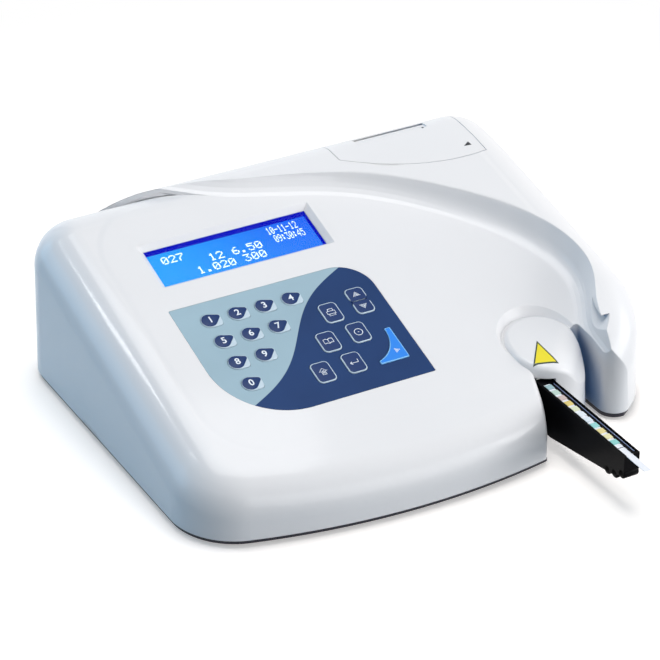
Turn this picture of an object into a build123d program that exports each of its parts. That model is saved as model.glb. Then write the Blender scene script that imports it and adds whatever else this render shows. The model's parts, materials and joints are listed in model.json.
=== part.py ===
from build123d import *
from math import acos, atan2, cos, hypot, pi, radians, sin, sqrt, tan
import os

# Urine strip analyzer. The frame has +X to the right, +Y to the back and +Z up.
# The origin is the middle of the footprint, with the strip carriage run out, on the table.

# Housing sizes
body_width = 370.0
body_depth = 305.0
body_top = 125.0
strip_reach = 84.0
port_reach = 6.0
shell_foot = 5.3
wall = 2.8
front_bow = 480.0
bow_x = -15.0
rear_corner = 34.0
left_corner = 48.0
right_corner = 75.0
edge_roll = 30.0
rim_low = 20.0
overrun = 12.0
skim = 1.5
pod_shelf_y = -8.0
hatch_sink = 0.4
rail_wall = 0.8
ledge_deep = 1.0
motor_clear = 2.0
motor_sink = 6.0
frame_foot = 8.0
lens_sink = 1.0
printer_shaft = 1.5
tail_left, tail_right, tail_low, tail_high = -60.0, -40.0, 54.0, 57.0

# Side profiles, angles in degrees
wall_lean = 1.5
panel_slope = 17.0
panel_crown = 60.0
panel_flat = 4.5
shoulder_slope = 12.5
shoulder_crown = 250.0
shoulder_flat = 19.5
nose_setback = 16.5

# Curved step between the panel and the shoulder
step_start_in, step_past = 35.0, 6.0
step_left_in, step_left_y = 232.0, 158.6
step_upper_in, step_upper_y = 151.2, 131.8
step_middle_in, step_middle_y = 76.0, 81.8
step_right_in, step_right_y = 35.0, 26.0
step_far_in, step_far_y = 30.0, -3.0
step_curl_in, step_curl_y = 41.0, -33.0
step_end_y = -62.0
column_in = 51.0
column_round = 12.0
step_lean = 15.0
step_tall = 44.0
step_lap = 2.0
valley_round = 10.0
valley_steps = 4

# Pod over the strip slot, with the scoop behind it
pod_in, pod_y = 83.8, -44.9
pod_radius = 26.5
pod_stretch = 5.3
pod_lean = 3.0
pod_set = 2.25
pod_slope = 9.0
pod_rim = 4.0
brow_round = 20.0
brow_turn = 60.0
brow_lean = 42.0
scoop_lean = 42.0
scoop_tall = 20.0
scoop_gap = 1.0
scoop_deep = 3.0
notch_back_y = -40.0
notch_end = 2.5
gate_in, gate_y = 115.6, -105.3
gate_round = 5.0

# Strip carriage, strip and slot
carriage_in = 98.5
carriage_width = 12.0
carriage_top = 44.0
carriage_tip_y = -177.4
carriage_tail_y = 42.0
carriage_foot = 10.5
carriage_tip_foot = 23.0
carriage_rise_y = -92.0
carriage_toe_y = -164.0
carriage_toe = 3.0
carriage_travel = 95.0
slot_gap = 0.6
slot_lift = 1.5
tunnel_gap = 1.0
strip_width = 5.0
strip_length = 120.0
strip_thick = 0.4
strip_side = 1.7
strip_play = 0.2
groove_deep = 0.9
pad_count = 11
pad_pitch = 7.8
pad_long = 5.0
pad_thick = 0.6
first_pad = 4.0
tile_long = 16.0
tile_thick = 1.2
tile_gap = 8.0

# Carriage drive
gear_module = 1.0
pinion_teeth = 16
pressure_angle = 20.0
mesh_play = 0.12
rack_low, rack_high = 30.0, 38.0
rack_back = 2.4
rack_margin = 3.0
rack_tail_teeth = 2
pinion_y = 35.0
shaft_radius = 2.5
shaft_fit = 0.05
motor_radius = 7.4
motor_tall = 20.0
motor_lug = 3.5
motor_lug_span = 22.0
guide_wall = 2.2
guide_gap = 0.3
guide_tall = 14.0
guide_front_y = -70.0
guide_back_y = 146.0
head_front_y, head_back_y = -4.0, 26.0
head_width = 44.0
head_tall = 9.0
head_gap = 4.0
head_post, head_post_long = 5.0, 10.0
lens_radius = 3.0
lens_pitch = 9.0
lens_count = 2

# Display
display_left, display_right = -118.9, 6.9
display_low, display_high = 91.4, 126.4
bezel_depth = 4.0
bezel_run = 4.0
pane_lap = 3.0
pane_thick = 2.0
pane_fit = 0.3
seat_margin = 4.0
glass_drop = 3.0
glass_margin_x, glass_margin_y = 7.0, 5.5
glass_thick = 2.0
module_wall = 1.2
module_lap = 2.0
module_thick = 8.0
module_board = 1.6
module_ear = 6.0

# Keypad
keypad_left, keypad_right = -129.4, 17.6
keypad_low, keypad_high = -46.0, 66.0
keypad_big_round = 53.0
keypad_small_round = 25.0
keypad_sharp = 1.0
keypad_recess = 2.0
keypad_fit = 0.2
keypad_seat = 4.0
backing_thick = 0.8
overlay_thick = 1.2
key_pitch = 20.5
key_first_x, key_first_y = -105.3, 48.2
key_gap = 0.3
key_rise = 0.6
key_float = 0.5
key_edge = 0.25
drop_radius, drop_x = 6.1, -1.4
nose_radius, nose_x, nose_y = 2.4, 5.0, 2.0
chin_radius, chin_x, chin_y = 2.9, 4.0, -3.2
box_key_width, box_key_height, box_key_round = 13.8, 18.2, 3.5
arrow_key_height = 11.8
function_keys = {
    "print": (-24.6, 26.7),
    "menu": (-39.2, 2.9),
    "line": (-55.8, -20.9),
    "clear": (-15.6, 3.7),
    "enter": (-32.0, -20.2),
}
arrow_key_x, arrow_up_y, arrow_down_y = -0.2, 36.6, 24.0
start_left, start_right = -15.0, 7.0
start_low, start_high = -28.3, 0.6
start_tip = 4.5
start_heel = 3.0
start_bay_x, start_bay_y = -2.4, -16.5
start_round = 0.8

# Printer hatch and bay
hatch_far, hatch_near = 136.0, 30.5
hatch_front = 75.3
hatch_side = 46.5
hatch_arc_in, hatch_arc = 92.0, 69.5
hatch_skirt = 33.0
hatch_gap = 0.4
paper_width = 58.5
paper_back = 28.0
paper_pocket = 8.2
paper_pocket_deep = 1.5
paper_slit = 2.0
frame_wall = 1.5
bay_width = 60.0
bay_long, bay_back = 58.0, 12.5
bay_deep = 50.0
frame_drop = 13.0
platen_radius = 6.0
platen_drop = 24.0
platen_back = 25.5
platen_shaft = 2.0
roller_end_gap = 0.5
platen_teeth = 24
printer_pinion_teeth = 12
printer_module = 0.8
gear_face = 4.0
gear_gap = 1.5
printer_motor_radius = 10.0
printer_motor_long = 16.0
print_head_tall = 22.0
print_head_gap = 0.3

# Base, feet and screws
base_inset = 1.3
base_low = 2.3
base_plate = 3.0
lip_gap = 0.6
lip_wall = 2.0
lip_tall = 5.0
foot_radius = 9.0
foot_sink = 1.0
foot_drop = 0.15
foot_recess = 3.0
left_foot_insets = ((35.0, 39.5), (43.0, 253.5))
right_foot_insets = ((35.0, 39.5), (27.0, 213.5))
left_screw_insets = ((17.0, 71.5), (19.0, 211.5), (125.0, 287.5))
right_screw_insets = ((17.0, 71.5), (25.0, 161.5), (165.0, 15.5))
boss_radius = 4.5
boss_hole = 1.5
screw_radius = 1.5
screw_fit = 0.05
screw_long = 9.0
screw_head_radius = 2.8
screw_head_tall = 1.4
screw_head_gap = 0.2

# Boards and supply
board_left, board_right = -150.0, 56.0
board_front_y, board_back_y = -44.0, 76.0
board_thick = 1.6
board_lift = 8.0
board_margin = 6.0
standoff_radius = 3.0
chip_tall = 1.5
chip_large = 20.0
supply_left, supply_right = -160.0, -62.0
supply_front_y, supply_back_y = 92.0, 152.0
supply_tall = 34.0
supply_wall = 1.2
supply_slot, supply_slot_count = 3.0, 8

# Rear connectors
rear_low = 22.0
inlet_x = -132.0
inlet_width, inlet_height = 48.0, 27.0
inlet_flange, inlet_flange_thick = 2.0, 2.0
inlet_deep = 24.0
socket_width, socket_height, socket_deep = 24.6, 16.8, 17.0
socket_corner = 4.0
socket_shift = -9.0
pin_long, pin_wide, pin_thick = 14.0, 4.0, 2.0
pin_span = 14.0
pin_low, pin_high = -2.0, 3.6
drawer_width, drawer_height, drawer_long = 14.0, 20.0, 22.0
drawer_shift = 13.5
drawer_gap = 0.3
drawer_face = 1.5
rocker_x = -92.0
rocker_frame_width, rocker_frame_height = 21.0, 15.0
rocker_deep = 14.0
rocker_wall, rocker_rim = 1.6, 4.8
rocker_gap = 0.3
rocker_tilt = 8.0
rocker_pin = 1.0
port_x = -45.0
port_width, port_height = 30.8, 12.5
port_flange = 0.8
port_deep = 11.0
plug_width, plug_height, plug_lean = 18.9, 9.8, 10.0
plug_wall = 0.6
plug_round = 2.2
plug_core_deep = 3.0
nut_span = 25.0
nut_across = 5.0
nut_long = 5.0
nut_hole = 1.35
panel_fit = 0.1

# Small shares and tables
nose_share = 0.68
flat_share = 0.5
rocker_rise_share = 0.35
rocker_back_share = 0.3
chip_shares = ((0.2, 0.3, 1.0), (0.45, 0.65, 0.6), (0.7, 0.3, 0.8), (0.82, 0.75, 0.5))

# Places worked out from the sizes
total_depth = body_depth + strip_reach + port_reach
rear_y = total_depth / 2 - port_reach
front_y = rear_y - body_depth
middle_y = (rear_y + front_y) / 2
far = body_width + total_depth
right_x = body_width / 2
pod_x = right_x - pod_in
column_x = right_x - column_in
gate_x = right_x - gate_in
carriage_x = right_x - carriage_in
strip_x = carriage_x - strip_side
paper_x = pod_x
paper_y = rear_y - paper_back
shoulder_nose = body_top * nose_share
hatch_left, hatch_right = right_x - hatch_far, right_x - hatch_near
hatch_front_y, hatch_side_y = rear_y - hatch_front, rear_y - hatch_side
hatch_arc_x, hatch_arc_y = right_x - hatch_arc_in, rear_y - hatch_arc
hatch_skirt_z = body_top - hatch_skirt
bay_back_y = rear_y - bay_back
bay_front_y = bay_back_y - bay_long
frame_top = body_top - frame_drop
bay_floor = frame_top - bay_deep
platen_y, platen_z = rear_y - platen_back, body_top - platen_drop
foot_spots = [(inset - right_x, rear_y - back) for inset, back in left_foot_insets]
foot_spots += [(right_x - inset, rear_y - back) for inset, back in right_foot_insets]
screw_spots = [(inset - right_x, rear_y - back) for inset, back in left_screw_insets]
screw_spots += [(right_x - inset, rear_y - back) for inset, back in right_screw_insets]
base_top = base_low + base_plate
seat_y = rear_y - wall / 2
connector_z = rear_low + inlet_height / 2
board_depth = bezel_depth + pane_thick + module_thick
panel_run = panel_crown * sin(radians(panel_slope))
panel_drop = panel_crown * (1 - cos(radians(panel_slope)))
panel_top_y = rear_y - panel_flat - panel_run
panel_top_z = body_top - panel_drop
panel_rise = tan(radians(panel_slope))


def panel_z(y):
    """Height of the sloping panel above the table at a plan depth."""
    return panel_top_z - (panel_top_y - y) * panel_rise


pod_back_z = panel_z(pod_y + pod_radius) - pod_set

panel = Plane(
    origin=(0, 0, panel_z(0)),
    x_dir=(1, 0, 0),
    z_dir=(0, -sin(radians(panel_slope)), cos(radians(panel_slope))),
)
side = Plane(origin=(0, 0, 0), x_dir=(0, 1, 0), z_dir=(1, 0, 0))


def block(x0, x1, y0, y1, z0, z1):
    """Box between two corners."""
    middle = ((x0 + x1) / 2, (y0 + y1) / 2, (z0 + z1) / 2)
    return Pos(*middle) * Box(x1 - x0, y1 - y0, z1 - z0)


def rect(x0, x1, y0, y1):
    """Rectangle between two corners."""
    return Pos((x0 + x1) / 2, (y0 + y1) / 2) * Rectangle(x1 - x0, y1 - y0)


def post(x, y, z0, z1, radius):
    """Upright round bar."""
    return Pos(x, y, (z0 + z1) / 2) * Cylinder(radius, z1 - z0)


def bar(x0, x1, y, z, radius):
    """Round bar along X."""
    return Pos((x0 + x1) / 2, y, z) * Rot(0, 90, 0) * Cylinder(radius, x1 - x0)


def in_panel(sketch, low, high):
    """Solid over a sketch drawn in the panel's plane, between two depths below the panel."""
    return panel * Pos(0, 0, -high) * extrude(sketch, high - low)


def corners_near(sketch, x, y):
    """The sketch's corner that is nearest to a point."""
    return min(sketch.vertices(), key=lambda v: hypot(v.X - x, v.Y - y))


def plan_outline(inset):
    """Footprint of the housing, drawn in by an inset all round."""
    half = body_width / 2 - inset
    low, high = front_y + inset, rear_y - inset
    sheet = rect(-half, half, low, high)
    sheet = sheet & Pos(bow_x, front_y + front_bow) * Circle(front_bow - inset)
    rear = [v for v in sheet.vertices() if v.Y > middle_y]
    sheet = fillet(rear, rear_corner - inset)
    sheet = fillet(corners_near(sheet, -half, low), left_corner - inset)
    return fillet(corners_near(sheet, half, low), right_corner - inset)


def plan_solid(inset):
    """Footprint raised with draft, well past the top."""
    low = shell_foot if not inset else shell_foot - overrun
    return extrude(Pos(0, 0, low) * plan_outline(inset), body_top + overrun, taper=wall_lean)


def crowned_profile(inset, slope, crown, flat, foot_y, nose):
    """Solid under a top line: flat, a crown, a slope and, where given, a nose that turns down."""
    angle = radians(slope)
    top = body_top - inset
    flat_y = rear_y - flat
    radius = crown - inset
    bend = (flat_y - crown * sin(angle), body_top - crown * (1 - cos(angle)))
    bend = (bend[0] + inset * sin(angle), bend[1] - inset * cos(angle))
    start = (flat_y, top)
    middle = (flat_y - radius * sin(angle / 2), top - radius * (1 - cos(angle / 2)))
    back = rear_y + overrun
    if nose:
        turn = nose - inset
        centre_y = foot_y + nose
        end_y = centre_y - nose * sin(angle) + inset * sin(angle)
        end_z = bend[1] - (bend[0] - end_y) * tan(angle)
        centre_z = end_z - turn * cos(angle)
        half = (pi / 2 + angle + pi) / 2
        knee = (centre_y + turn * cos(half), centre_z + turn * sin(half))
        foot = (centre_y - turn, centre_z)
    else:
        end_y = foot_y
        end_z = bend[1] - (bend[0] - end_y) * tan(angle)
    with BuildLine() as line:
        Line((back, top), start)
        ThreePointArc(start, middle, bend)
        Line(bend, (end_y, end_z))
        if nose:
            ThreePointArc((end_y, end_z), knee, foot)
            Line(foot, (foot[0], -overrun))
            Line((foot[0], -overrun), (back, -overrun))
        else:
            Line((end_y, end_z), (end_y, -overrun))
            Line((end_y, -overrun), (back, -overrun))
        Line((back, -overrun), (back, top))
    return extrude(side * make_face(line.line), body_width, both=True)


def top_edges(solid, low):
    """Edges where the top faces meet the walls, above a height."""
    tops = [face for face in solid.faces() if face.normal_at(face.center()).Z > flat_share]
    rims = []
    for face in tops:
        for edge in face.edges():
            others = [f for f in tops if f is not face and any(edge.is_same(e) for e in f.edges())]
            if not others and edge.center().Z > low:
                rims.append(edge)
    return rims


def shoulder_form(inset):
    """Housing under the shoulder's top line, with its rim rolled."""
    line = crowned_profile(
        inset, shoulder_slope, shoulder_crown, shoulder_flat, front_y + nose_setback, shoulder_nose
    )
    solid = plan_solid(inset) & line
    return fillet(top_edges(solid, rim_low), edge_roll - inset)


def panel_form(inset):
    """Housing under the sloping panel, with its rim rolled."""
    line = crowned_profile(inset, panel_slope, panel_crown, panel_flat, front_y - overrun, 0)
    solid = plan_solid(inset) & line
    return fillet(top_edges(solid, rim_low), edge_roll - inset)


def step_curve(grow):
    """Points along the curved step in plan, moved out to the shoulder's side by a growth."""
    places = (
        (step_start_in - right_x, rear_y + step_past),
        (right_x - step_left_in, step_left_y),
        (right_x - step_upper_in, step_upper_y),
        (right_x - step_middle_in, step_middle_y),
        (right_x - step_right_in, step_right_y),
        (right_x - step_far_in, step_far_y),
        (right_x - step_curl_in, step_curl_y),
        (column_x, step_end_y),
    )
    points = [(places[0][0], places[0][1] + grow)]
    for before, here, after in zip(places, places[1:], places[2:]):
        run, rise = after[0] - before[0], after[1] - before[1]
        length = hypot(run, rise)
        points.append((here[0] - grow * rise / length, here[1] + grow * run / length))
    points.append((places[-1][0] + grow, places[-1][1]))
    return points


def step_region(grow, level):
    """Plan of the sunken panel where it crosses a level above the panel, grown at the step."""
    lean = radians(panel_slope)
    points = [(x, (y + level * sin(lean)) / cos(lean)) for x, y in step_curve(grow)]
    front, back = front_y - far, rear_y + far
    with BuildLine() as line:
        Spline(*points, tangents=((1, 0), (0, -1)))
        Line(points[-1], (points[-1][0], front))
        Line((points[-1][0], front), (-far, front))
        Line((-far, front), (-far, back))
        Line((-far, back), (points[0][0], back))
        Line((points[0][0], back), points[0])
    return panel * Pos(0, 0, level) * make_face(line.line)


def step_column(inset):
    """Column over the sunken panel: rounded where it rises from the panel, then flaring a little."""
    flare = tan(radians(step_lean))
    grow = inset / cos(radians(step_lean)) - inset * flare
    turn = pi / 2 - radians(step_lean)
    radius = valley_round + inset
    foot = grow - radius * tan(turn / 2)
    sections = [step_region(foot - step_lap, -body_top)]
    for step in range(valley_steps + 1):
        angle = turn * step / valley_steps
        sections.append(step_region(foot + radius * sin(angle), radius * (1 - cos(angle)) - inset))
    sections.append(step_region(grow + (inset + step_tall) * flare, step_tall))
    return loft(sections, ruled=True)


def two_level_form(inset):
    """Housing with the sunken panel in front of the curved step and the shoulder behind it."""
    column = step_column(inset)
    return (shoulder_form(inset) - column) + (panel_form(inset) & column)


def pod_outline(grow):
    """Section of the rounded pod, grown all round."""
    radius = pod_radius + grow
    middle = rect(pod_x - radius, pod_x + radius, pod_y - pod_stretch, pod_y)
    return middle + Pos(pod_x, pod_y) * Circle(radius) + Pos(pod_x, pod_y - pod_stretch) * Circle(radius)


pod_top = Plane(
    origin=(0, pod_y + pod_radius, pod_back_z),
    x_dir=(1, 0, 0),
    z_dir=(0, -sin(radians(pod_slope)), cos(radians(pod_slope))),
)


def brow(inset):
    """Everything under the pod's top: flat, then rolled down towards the front right."""
    radius = brow_round - inset
    turn = radians(brow_turn)
    start = (pod_radius - brow_round, 0)
    knee = (start[0] + radius * sin(turn / 2), radius * (cos(turn / 2) - 1))
    end = (start[0] + radius * sin(turn), radius * (cos(turn) - 1))
    foot = (end[0] + far * cos(turn), end[1] - far * sin(turn))
    with BuildLine() as line:
        Line((-far, 0), start)
        ThreePointArc(start, knee, end)
        Line(end, foot)
        Line(foot, (-far, foot[1]))
        Line((-far, foot[1]), (-far, 0))
    upright = Plane(origin=(0, 0, 0), x_dir=(1, 0, 0), z_dir=(0, -1, 0))
    turned = pod_top * Pos(pod_x, -pod_stretch - pod_radius, -inset) * Rot(0, 0, -brow_lean)
    return turned * extrude(upright * make_face(line.line), far, both=True)


def pod(inset):
    """Rounded pod that stands over the strip slot."""
    low = shell_foot if not inset else -overrun
    high = pod_back_z + pod_back_z
    flare = (pod_back_z - shell_foot) * tan(radians(pod_lean))
    foot = Pos(0, 0, low) * pod_outline(flare - inset)
    head = Pos(0, 0, high) * pod_outline(flare - inset - (high - low) * tan(radians(pod_lean)))
    solid = loft([foot, head], ruled=True) & brow(inset)
    return fillet(top_edges(solid, rim_low), pod_rim - inset)


def scoop(sink):
    """Dished cut in the panel round the back of the pod, sunk further where wanted."""
    low_y = pod_y + pod_radius
    outline = Pos(0, -low_y) * pod_outline(scoop_gap + sink)
    return pod_top * Pos(0, 0, -scoop_deep - sink) * extrude(outline, scoop_tall, taper=-scoop_lean)


def notch(grow):
    """Open notch in front of the pod and beside the column, through to the table."""
    slot_left = carriage_x - carriage_width / 2 - slot_gap
    lean = (slot_left - gate_x) / (gate_y - pod_y + pod_radius)
    left_out = grow * sqrt(1 + lean * lean)
    mouth_y = front_y - overrun
    corner_x = right_x - right_corner
    corner_y = front_y + front_bow - sqrt((front_bow - right_corner) ** 2 - (corner_x - bow_x) ** 2)
    round_x = column_x + column_round
    round_y = corner_y - sqrt((right_corner - column_round) ** 2 - (round_x - corner_x) ** 2)
    out = atan2(round_y - corner_y, round_x - corner_x)
    middle = (out - pi) / 2
    radius = column_round - grow
    end = (round_x + radius * cos(out), round_y + radius * sin(out))
    with BuildLine() as line:
        ThreePointArc((column_x + grow, round_y),
                      (round_x + radius * cos(middle), round_y + radius * sin(middle)), end)
        Polyline(
            end,
            (end[0], mouth_y),
            (gate_x - left_out + lean * (gate_y - mouth_y), mouth_y),
            (gate_x - left_out, gate_y),
            (slot_left - grow, pod_y - pod_radius),
            (slot_left - grow, pod_y),
            (pod_x, pod_y),
            (pod_x, notch_back_y + grow),
            (column_x + grow, notch_back_y + grow),
            (column_x + grow, round_y),
        )
    sheet = make_face(line.line)
    sheet = fillet(corners_near(sheet, column_x + grow, notch_back_y + grow), notch_end + grow)
    return Pos(0, 0, -overrun) * extrude(sheet, body_top + overrun + overrun)


def gate_edges(form):
    """Upper edges of the notch beside the slot."""
    slot_left = carriage_x - carriage_width / 2 - slot_gap
    found = []
    for edge in form.edges():
        middle = edge.center()
        beside = gate_x - gate_round < middle.X < slot_left and middle.Y < pod_y - pod_radius
        if beside and middle.Z > rim_low + gate_round:
            found.append(edge)
    return found


def body_form():
    """Outer form of the white housing, still solid."""
    form = two_level_form(0) - notch(0)
    return fillet(gate_edges(form), gate_round) - scoop(0) + pod(0)


def rack_tip_x():
    """How far right the carriage's rack reaches."""
    return carriage_x + carriage_width / 2 + rack_back + gear_module


def inner_form():
    """Hollow of the housing."""
    return two_level_form(wall) - scoop(wall) - notch(wall) + pod(wall)


def tunnel():
    """Slot for the carriage in the pod's front, and the way past the notch's walls for its guide."""
    half = carriage_width / 2 + slot_gap
    roof = carriage_top + slot_lift
    slot = block(carriage_x - half, carriage_x + half, front_y, pod_shelf_y, -overrun, roof)
    left = carriage_x - carriage_width / 2 - guide_gap - guide_wall - tunnel_gap
    inside_y = pod_y - pod_stretch - pod_radius + wall
    return slot + block(left, rack_tip_x() + tunnel_gap, inside_y, pod_shelf_y, -overrun, roof)


def aperture(grow):
    """Display opening in the panel's plane, grown all round."""
    return rect(display_left - grow, display_right + grow, display_low - grow, display_high + grow)


def keypad_outline(shrink):
    """Keypad outline in the panel's plane, drawn in all round."""
    sheet = rect(keypad_left + shrink, keypad_right - shrink, keypad_low + shrink, keypad_high - shrink)
    sheet = fillet(corners_near(sheet, keypad_left, keypad_low), keypad_big_round - shrink)
    sheet = fillet(corners_near(sheet, keypad_right, keypad_high), keypad_small_round - shrink)
    sheet = fillet(corners_near(sheet, keypad_left, keypad_high), keypad_sharp)
    return fillet(corners_near(sheet, keypad_right, keypad_low), keypad_sharp)


def hatch_outline(grow):
    """Plan of the printer hatch, grown on its sides and front."""
    back = rear_y + overrun
    with BuildLine() as line:
        Line((hatch_right, back), (hatch_left, back))
        Line((hatch_left, back), (hatch_left, hatch_side_y))
        ThreePointArc((hatch_left, hatch_side_y), (hatch_arc_x, hatch_arc_y), (hatch_right, hatch_front_y))
        Line((hatch_right, hatch_front_y), (hatch_right, back))
    sheet = make_face(line.line)
    return offset(sheet, grow, kind=Kind.INTERSECTION) if grow else sheet


def hatch_block(grow):
    """Everything over the printer bay, down to the hatch's rear skirt."""
    low = hatch_skirt_z - grow
    return Pos(0, 0, low) * extrude(hatch_outline(grow), body_top + overrun - low)


def screw_bosses(form):
    """Bosses that hang from the housing's roof to the base, bored for the housing screws."""
    bosses = [post(x, y, base_top, body_top, boss_radius) for x, y in screw_spots]
    return [boss & form for boss in bosses]


def display_posts():
    """Places of the display's four screws in the panel's plane."""
    reach_x = glass_margin_x + module_wall + module_ear / 2
    reach_y = (display_high - display_low) / 2 - module_ear
    middle = (display_high + display_low) / 2
    return [
        (x, middle + turn * reach_y)
        for x in (display_left - reach_x, display_right + reach_x)
        for turn in (-1, 1)
    ]


def rear_cuts():
    """Flat seat and cut-outs for the connectors on the rear wall."""
    low, high = rear_low - seat_margin, rear_low + inlet_height + seat_margin
    left = inlet_x - inlet_width / 2 - seat_margin
    right = port_x + port_width / 2 + seat_margin
    seat = block(left, right, seat_y, rear_y + overrun, low, high)
    deep = rear_y - wall - overrun
    holes = [
        block_on_seat(inlet_x, inlet_width - inlet_flange, inlet_height - inlet_flange, deep, panel_fit),
        block_on_seat(rocker_x, rocker_frame_width - rocker_wall, rocker_frame_height - rocker_wall, deep,
                      panel_fit),
        block_on_seat(port_x, plug_width + plug_wall, plug_height + plug_wall, deep, panel_fit),
    ]
    bores = [
        Pos(port_x + turn * nut_span / 2, seat_y, connector_z) * Rot(90, 0, 0) * Cylinder(nut_hole, far)
        for turn in (-1, 1)
    ]
    near = block(left, right, rear_y - wall - overrun, rear_y + overrun, low, high)
    return [seat, *holes, *[bore & near for bore in bores]]


def block_on_seat(x, width, height, back_y, grow):
    """Box centred on the connectors' line, from a depth out past the rear wall."""
    half, tall = width / 2 + grow, height / 2 + grow
    return block(x - half, x + half, back_y, rear_y + overrun, connector_z - tall, connector_z + tall)


def make_housing():
    """White housing and the hatch that is cut from its rear right corner."""
    form = body_form()
    shell = form - inner_form()
    seat_deep = bezel_depth + pane_thick
    seats = [
        in_panel(aperture(pane_lap + seat_margin), wall / 2, seat_deep),
        in_panel(keypad_outline(-seat_margin), wall / 2, keypad_seat),
        *[in_panel(Pos(x, y) * Circle(boss_hole + module_ear / 4), wall / 2, board_depth)
          for x, y in display_posts()],
    ]
    for piece in seats + screw_bosses(form):
        shell = shell + piece
    shell = shell - tunnel()
    bevel = panel * Pos(0, 0, -bezel_depth) * extrude(
        aperture(0), bezel_depth + skim, taper=-degrees_of(bezel_run, bezel_depth))
    cuts = [
        bevel,
        in_panel(aperture(0), bezel_depth - skim, seat_deep + skim),
        in_panel(aperture(pane_lap), bezel_depth, seat_deep + skim),
        in_panel(keypad_outline(0), -skim, keypad_recess),
        in_panel(rect(tail_left, tail_right, tail_low, tail_high), keypad_recess - skim, keypad_seat + skim),
        *[in_panel(Pos(x, y) * Circle(boss_hole), board_depth - screw_long, board_depth + skim)
          for x, y in display_posts()],
        *[post(x, y, -overrun, base_top + screw_long, boss_hole) for x, y in screw_spots],
        *rear_cuts(),
    ]
    for cut in cuts:
        shell = shell - cut
    hatch = shell & hatch_block(0)
    shell = shell - hatch_block(hatch_gap)
    pocket_high = paper_y + paper_pocket / 2
    pocket = block(paper_x - paper_width / 2, paper_x + paper_width / 2, paper_y - paper_pocket / 2,
                   pocket_high, body_top - paper_pocket_deep - hatch_sink, far)
    slit = block(paper_x - paper_width / 2, paper_x + paper_width / 2, pocket_high - paper_slit,
                 pocket_high, frame_top, far)
    return shell, hatch - pocket - slit


def degrees_of(run, rise):
    """Angle of a slope from its run and rise."""
    return atan2(run, rise) * 180 / pi


def make_base():
    """Dark lower housing: plate, lip inside the white shell, and screw holes."""
    plate = extrude(Pos(0, 0, base_low) * plan_outline(base_inset), base_plate)
    out = plan_outline(wall + lip_gap)
    ring = out - plan_outline(wall + lip_gap + lip_wall)
    lip = extrude(Pos(0, 0, base_top) * ring, lip_tall)
    past = column_x + column_round + column_round + wall + lip_wall
    keep = block(gate_x - wall - wall - lip_wall, past, -far, pod_shelf_y + lip_wall, base_top, far)
    base = plate + (lip - keep)
    for x, y in screw_spots:
        base = base - post(x, y, -overrun, base_top + skim, screw_radius + screw_head_gap)
        base = base - post(x, y, -overrun, base_low + screw_head_tall, screw_head_radius + screw_head_gap)
        base = base - post(x, y, base_top, far, boss_radius + lip_gap)
    for x, y in foot_spots:
        base = base - post(x, y, -overrun, base_low + foot_sink, foot_radius + foot_drop)
    return base - (notch(0) - pod_shadow())


def pod_shadow():
    """The pod's footprint as an upright block, which the notch leaves standing in the base."""
    return Pos(0, 0, -overrun) * extrude(pod_outline(-base_inset), far)


def make_feet():
    """Four rubber feet."""
    feet = []
    for x, y in foot_spots:
        foot = post(x, y, 0, base_low + foot_sink, foot_radius)
        feet.append(foot - post(x, y, -overrun, foot_sink, foot_recess))
    return Compound(children=feet)


def make_screws():
    """Housing screws, driven up through the base into the bosses."""
    screws = []
    for x, y in screw_spots:
        head = post(x, y, base_low, base_low + screw_head_tall, screw_head_radius)
        shank = post(x, y, base_low, base_top + screw_long - screw_head_gap, screw_radius - screw_fit)
        screws.append(head + shank)
    return Compound(children=screws)


def make_display():
    """Clear pane, frame, display glass, backlight, board and screws behind the panel."""
    low = bezel_depth + pane_thick
    glass_low = bezel_depth + glass_drop
    back = low + module_thick
    pane = in_panel(aperture(pane_lap - pane_fit), bezel_depth, low)
    grown = rect(
        display_left - glass_margin_x, display_right + glass_margin_x,
        display_low - glass_margin_y, display_high + glass_margin_y,
    )
    outer = offset(grown, module_wall, kind=Kind.INTERSECTION)
    window = offset(grown, -module_lap, kind=Kind.INTERSECTION)
    frame = in_panel(outer, low, back) - in_panel(grown, glass_low, back + skim)
    frame = frame - in_panel(window, low - skim, glass_low + skim)
    inner = offset(grown, -pane_fit, kind=Kind.INTERSECTION)
    glass = in_panel(inner, glass_low, glass_low + glass_thick)
    light = in_panel(inner, glass_low + glass_thick, back - module_board)
    wide = rect(
        display_left - glass_margin_x - module_wall - module_ear,
        display_right + glass_margin_x + module_wall + module_ear,
        display_low - glass_margin_y, display_high + glass_margin_y,
    )
    board = in_panel(wide, board_depth, board_depth + module_board)
    screws = []
    for x, y in display_posts():
        spot = Pos(x, y)
        board = board - in_panel(spot * Circle(boss_hole), board_depth - skim, far)
        shank = in_panel(spot * Circle(screw_radius - screw_fit), board_depth - screw_long + screw_head_gap,
                         board_depth + module_board)
        screws.append(shank + in_panel(spot * Circle(screw_head_radius), board_depth + module_board,
                                       board_depth + module_board + screw_head_tall))
    return pane, frame, glass, light, board, Compound(children=screws)


def drop_key(x, y, grow):
    """Outline of a number key: a round drop with a nose to the upper right and a chin below."""
    round_part = Pos(x + drop_x, y) * Circle(drop_radius + grow)
    nose = Pos(x + nose_x, y + nose_y) * Circle(nose_radius + grow)
    chin = Pos(x + chin_x, y + chin_y) * Circle(chin_radius + grow)
    return make_hull((round_part + nose + chin).edges())


def box_key(x, y, height, grow):
    """Outline of a function key."""
    sheet = Rectangle(box_key_width + 2 * grow, height + 2 * grow)
    return Pos(x, y) * fillet(sheet.vertices(), box_key_round + grow)


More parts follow.
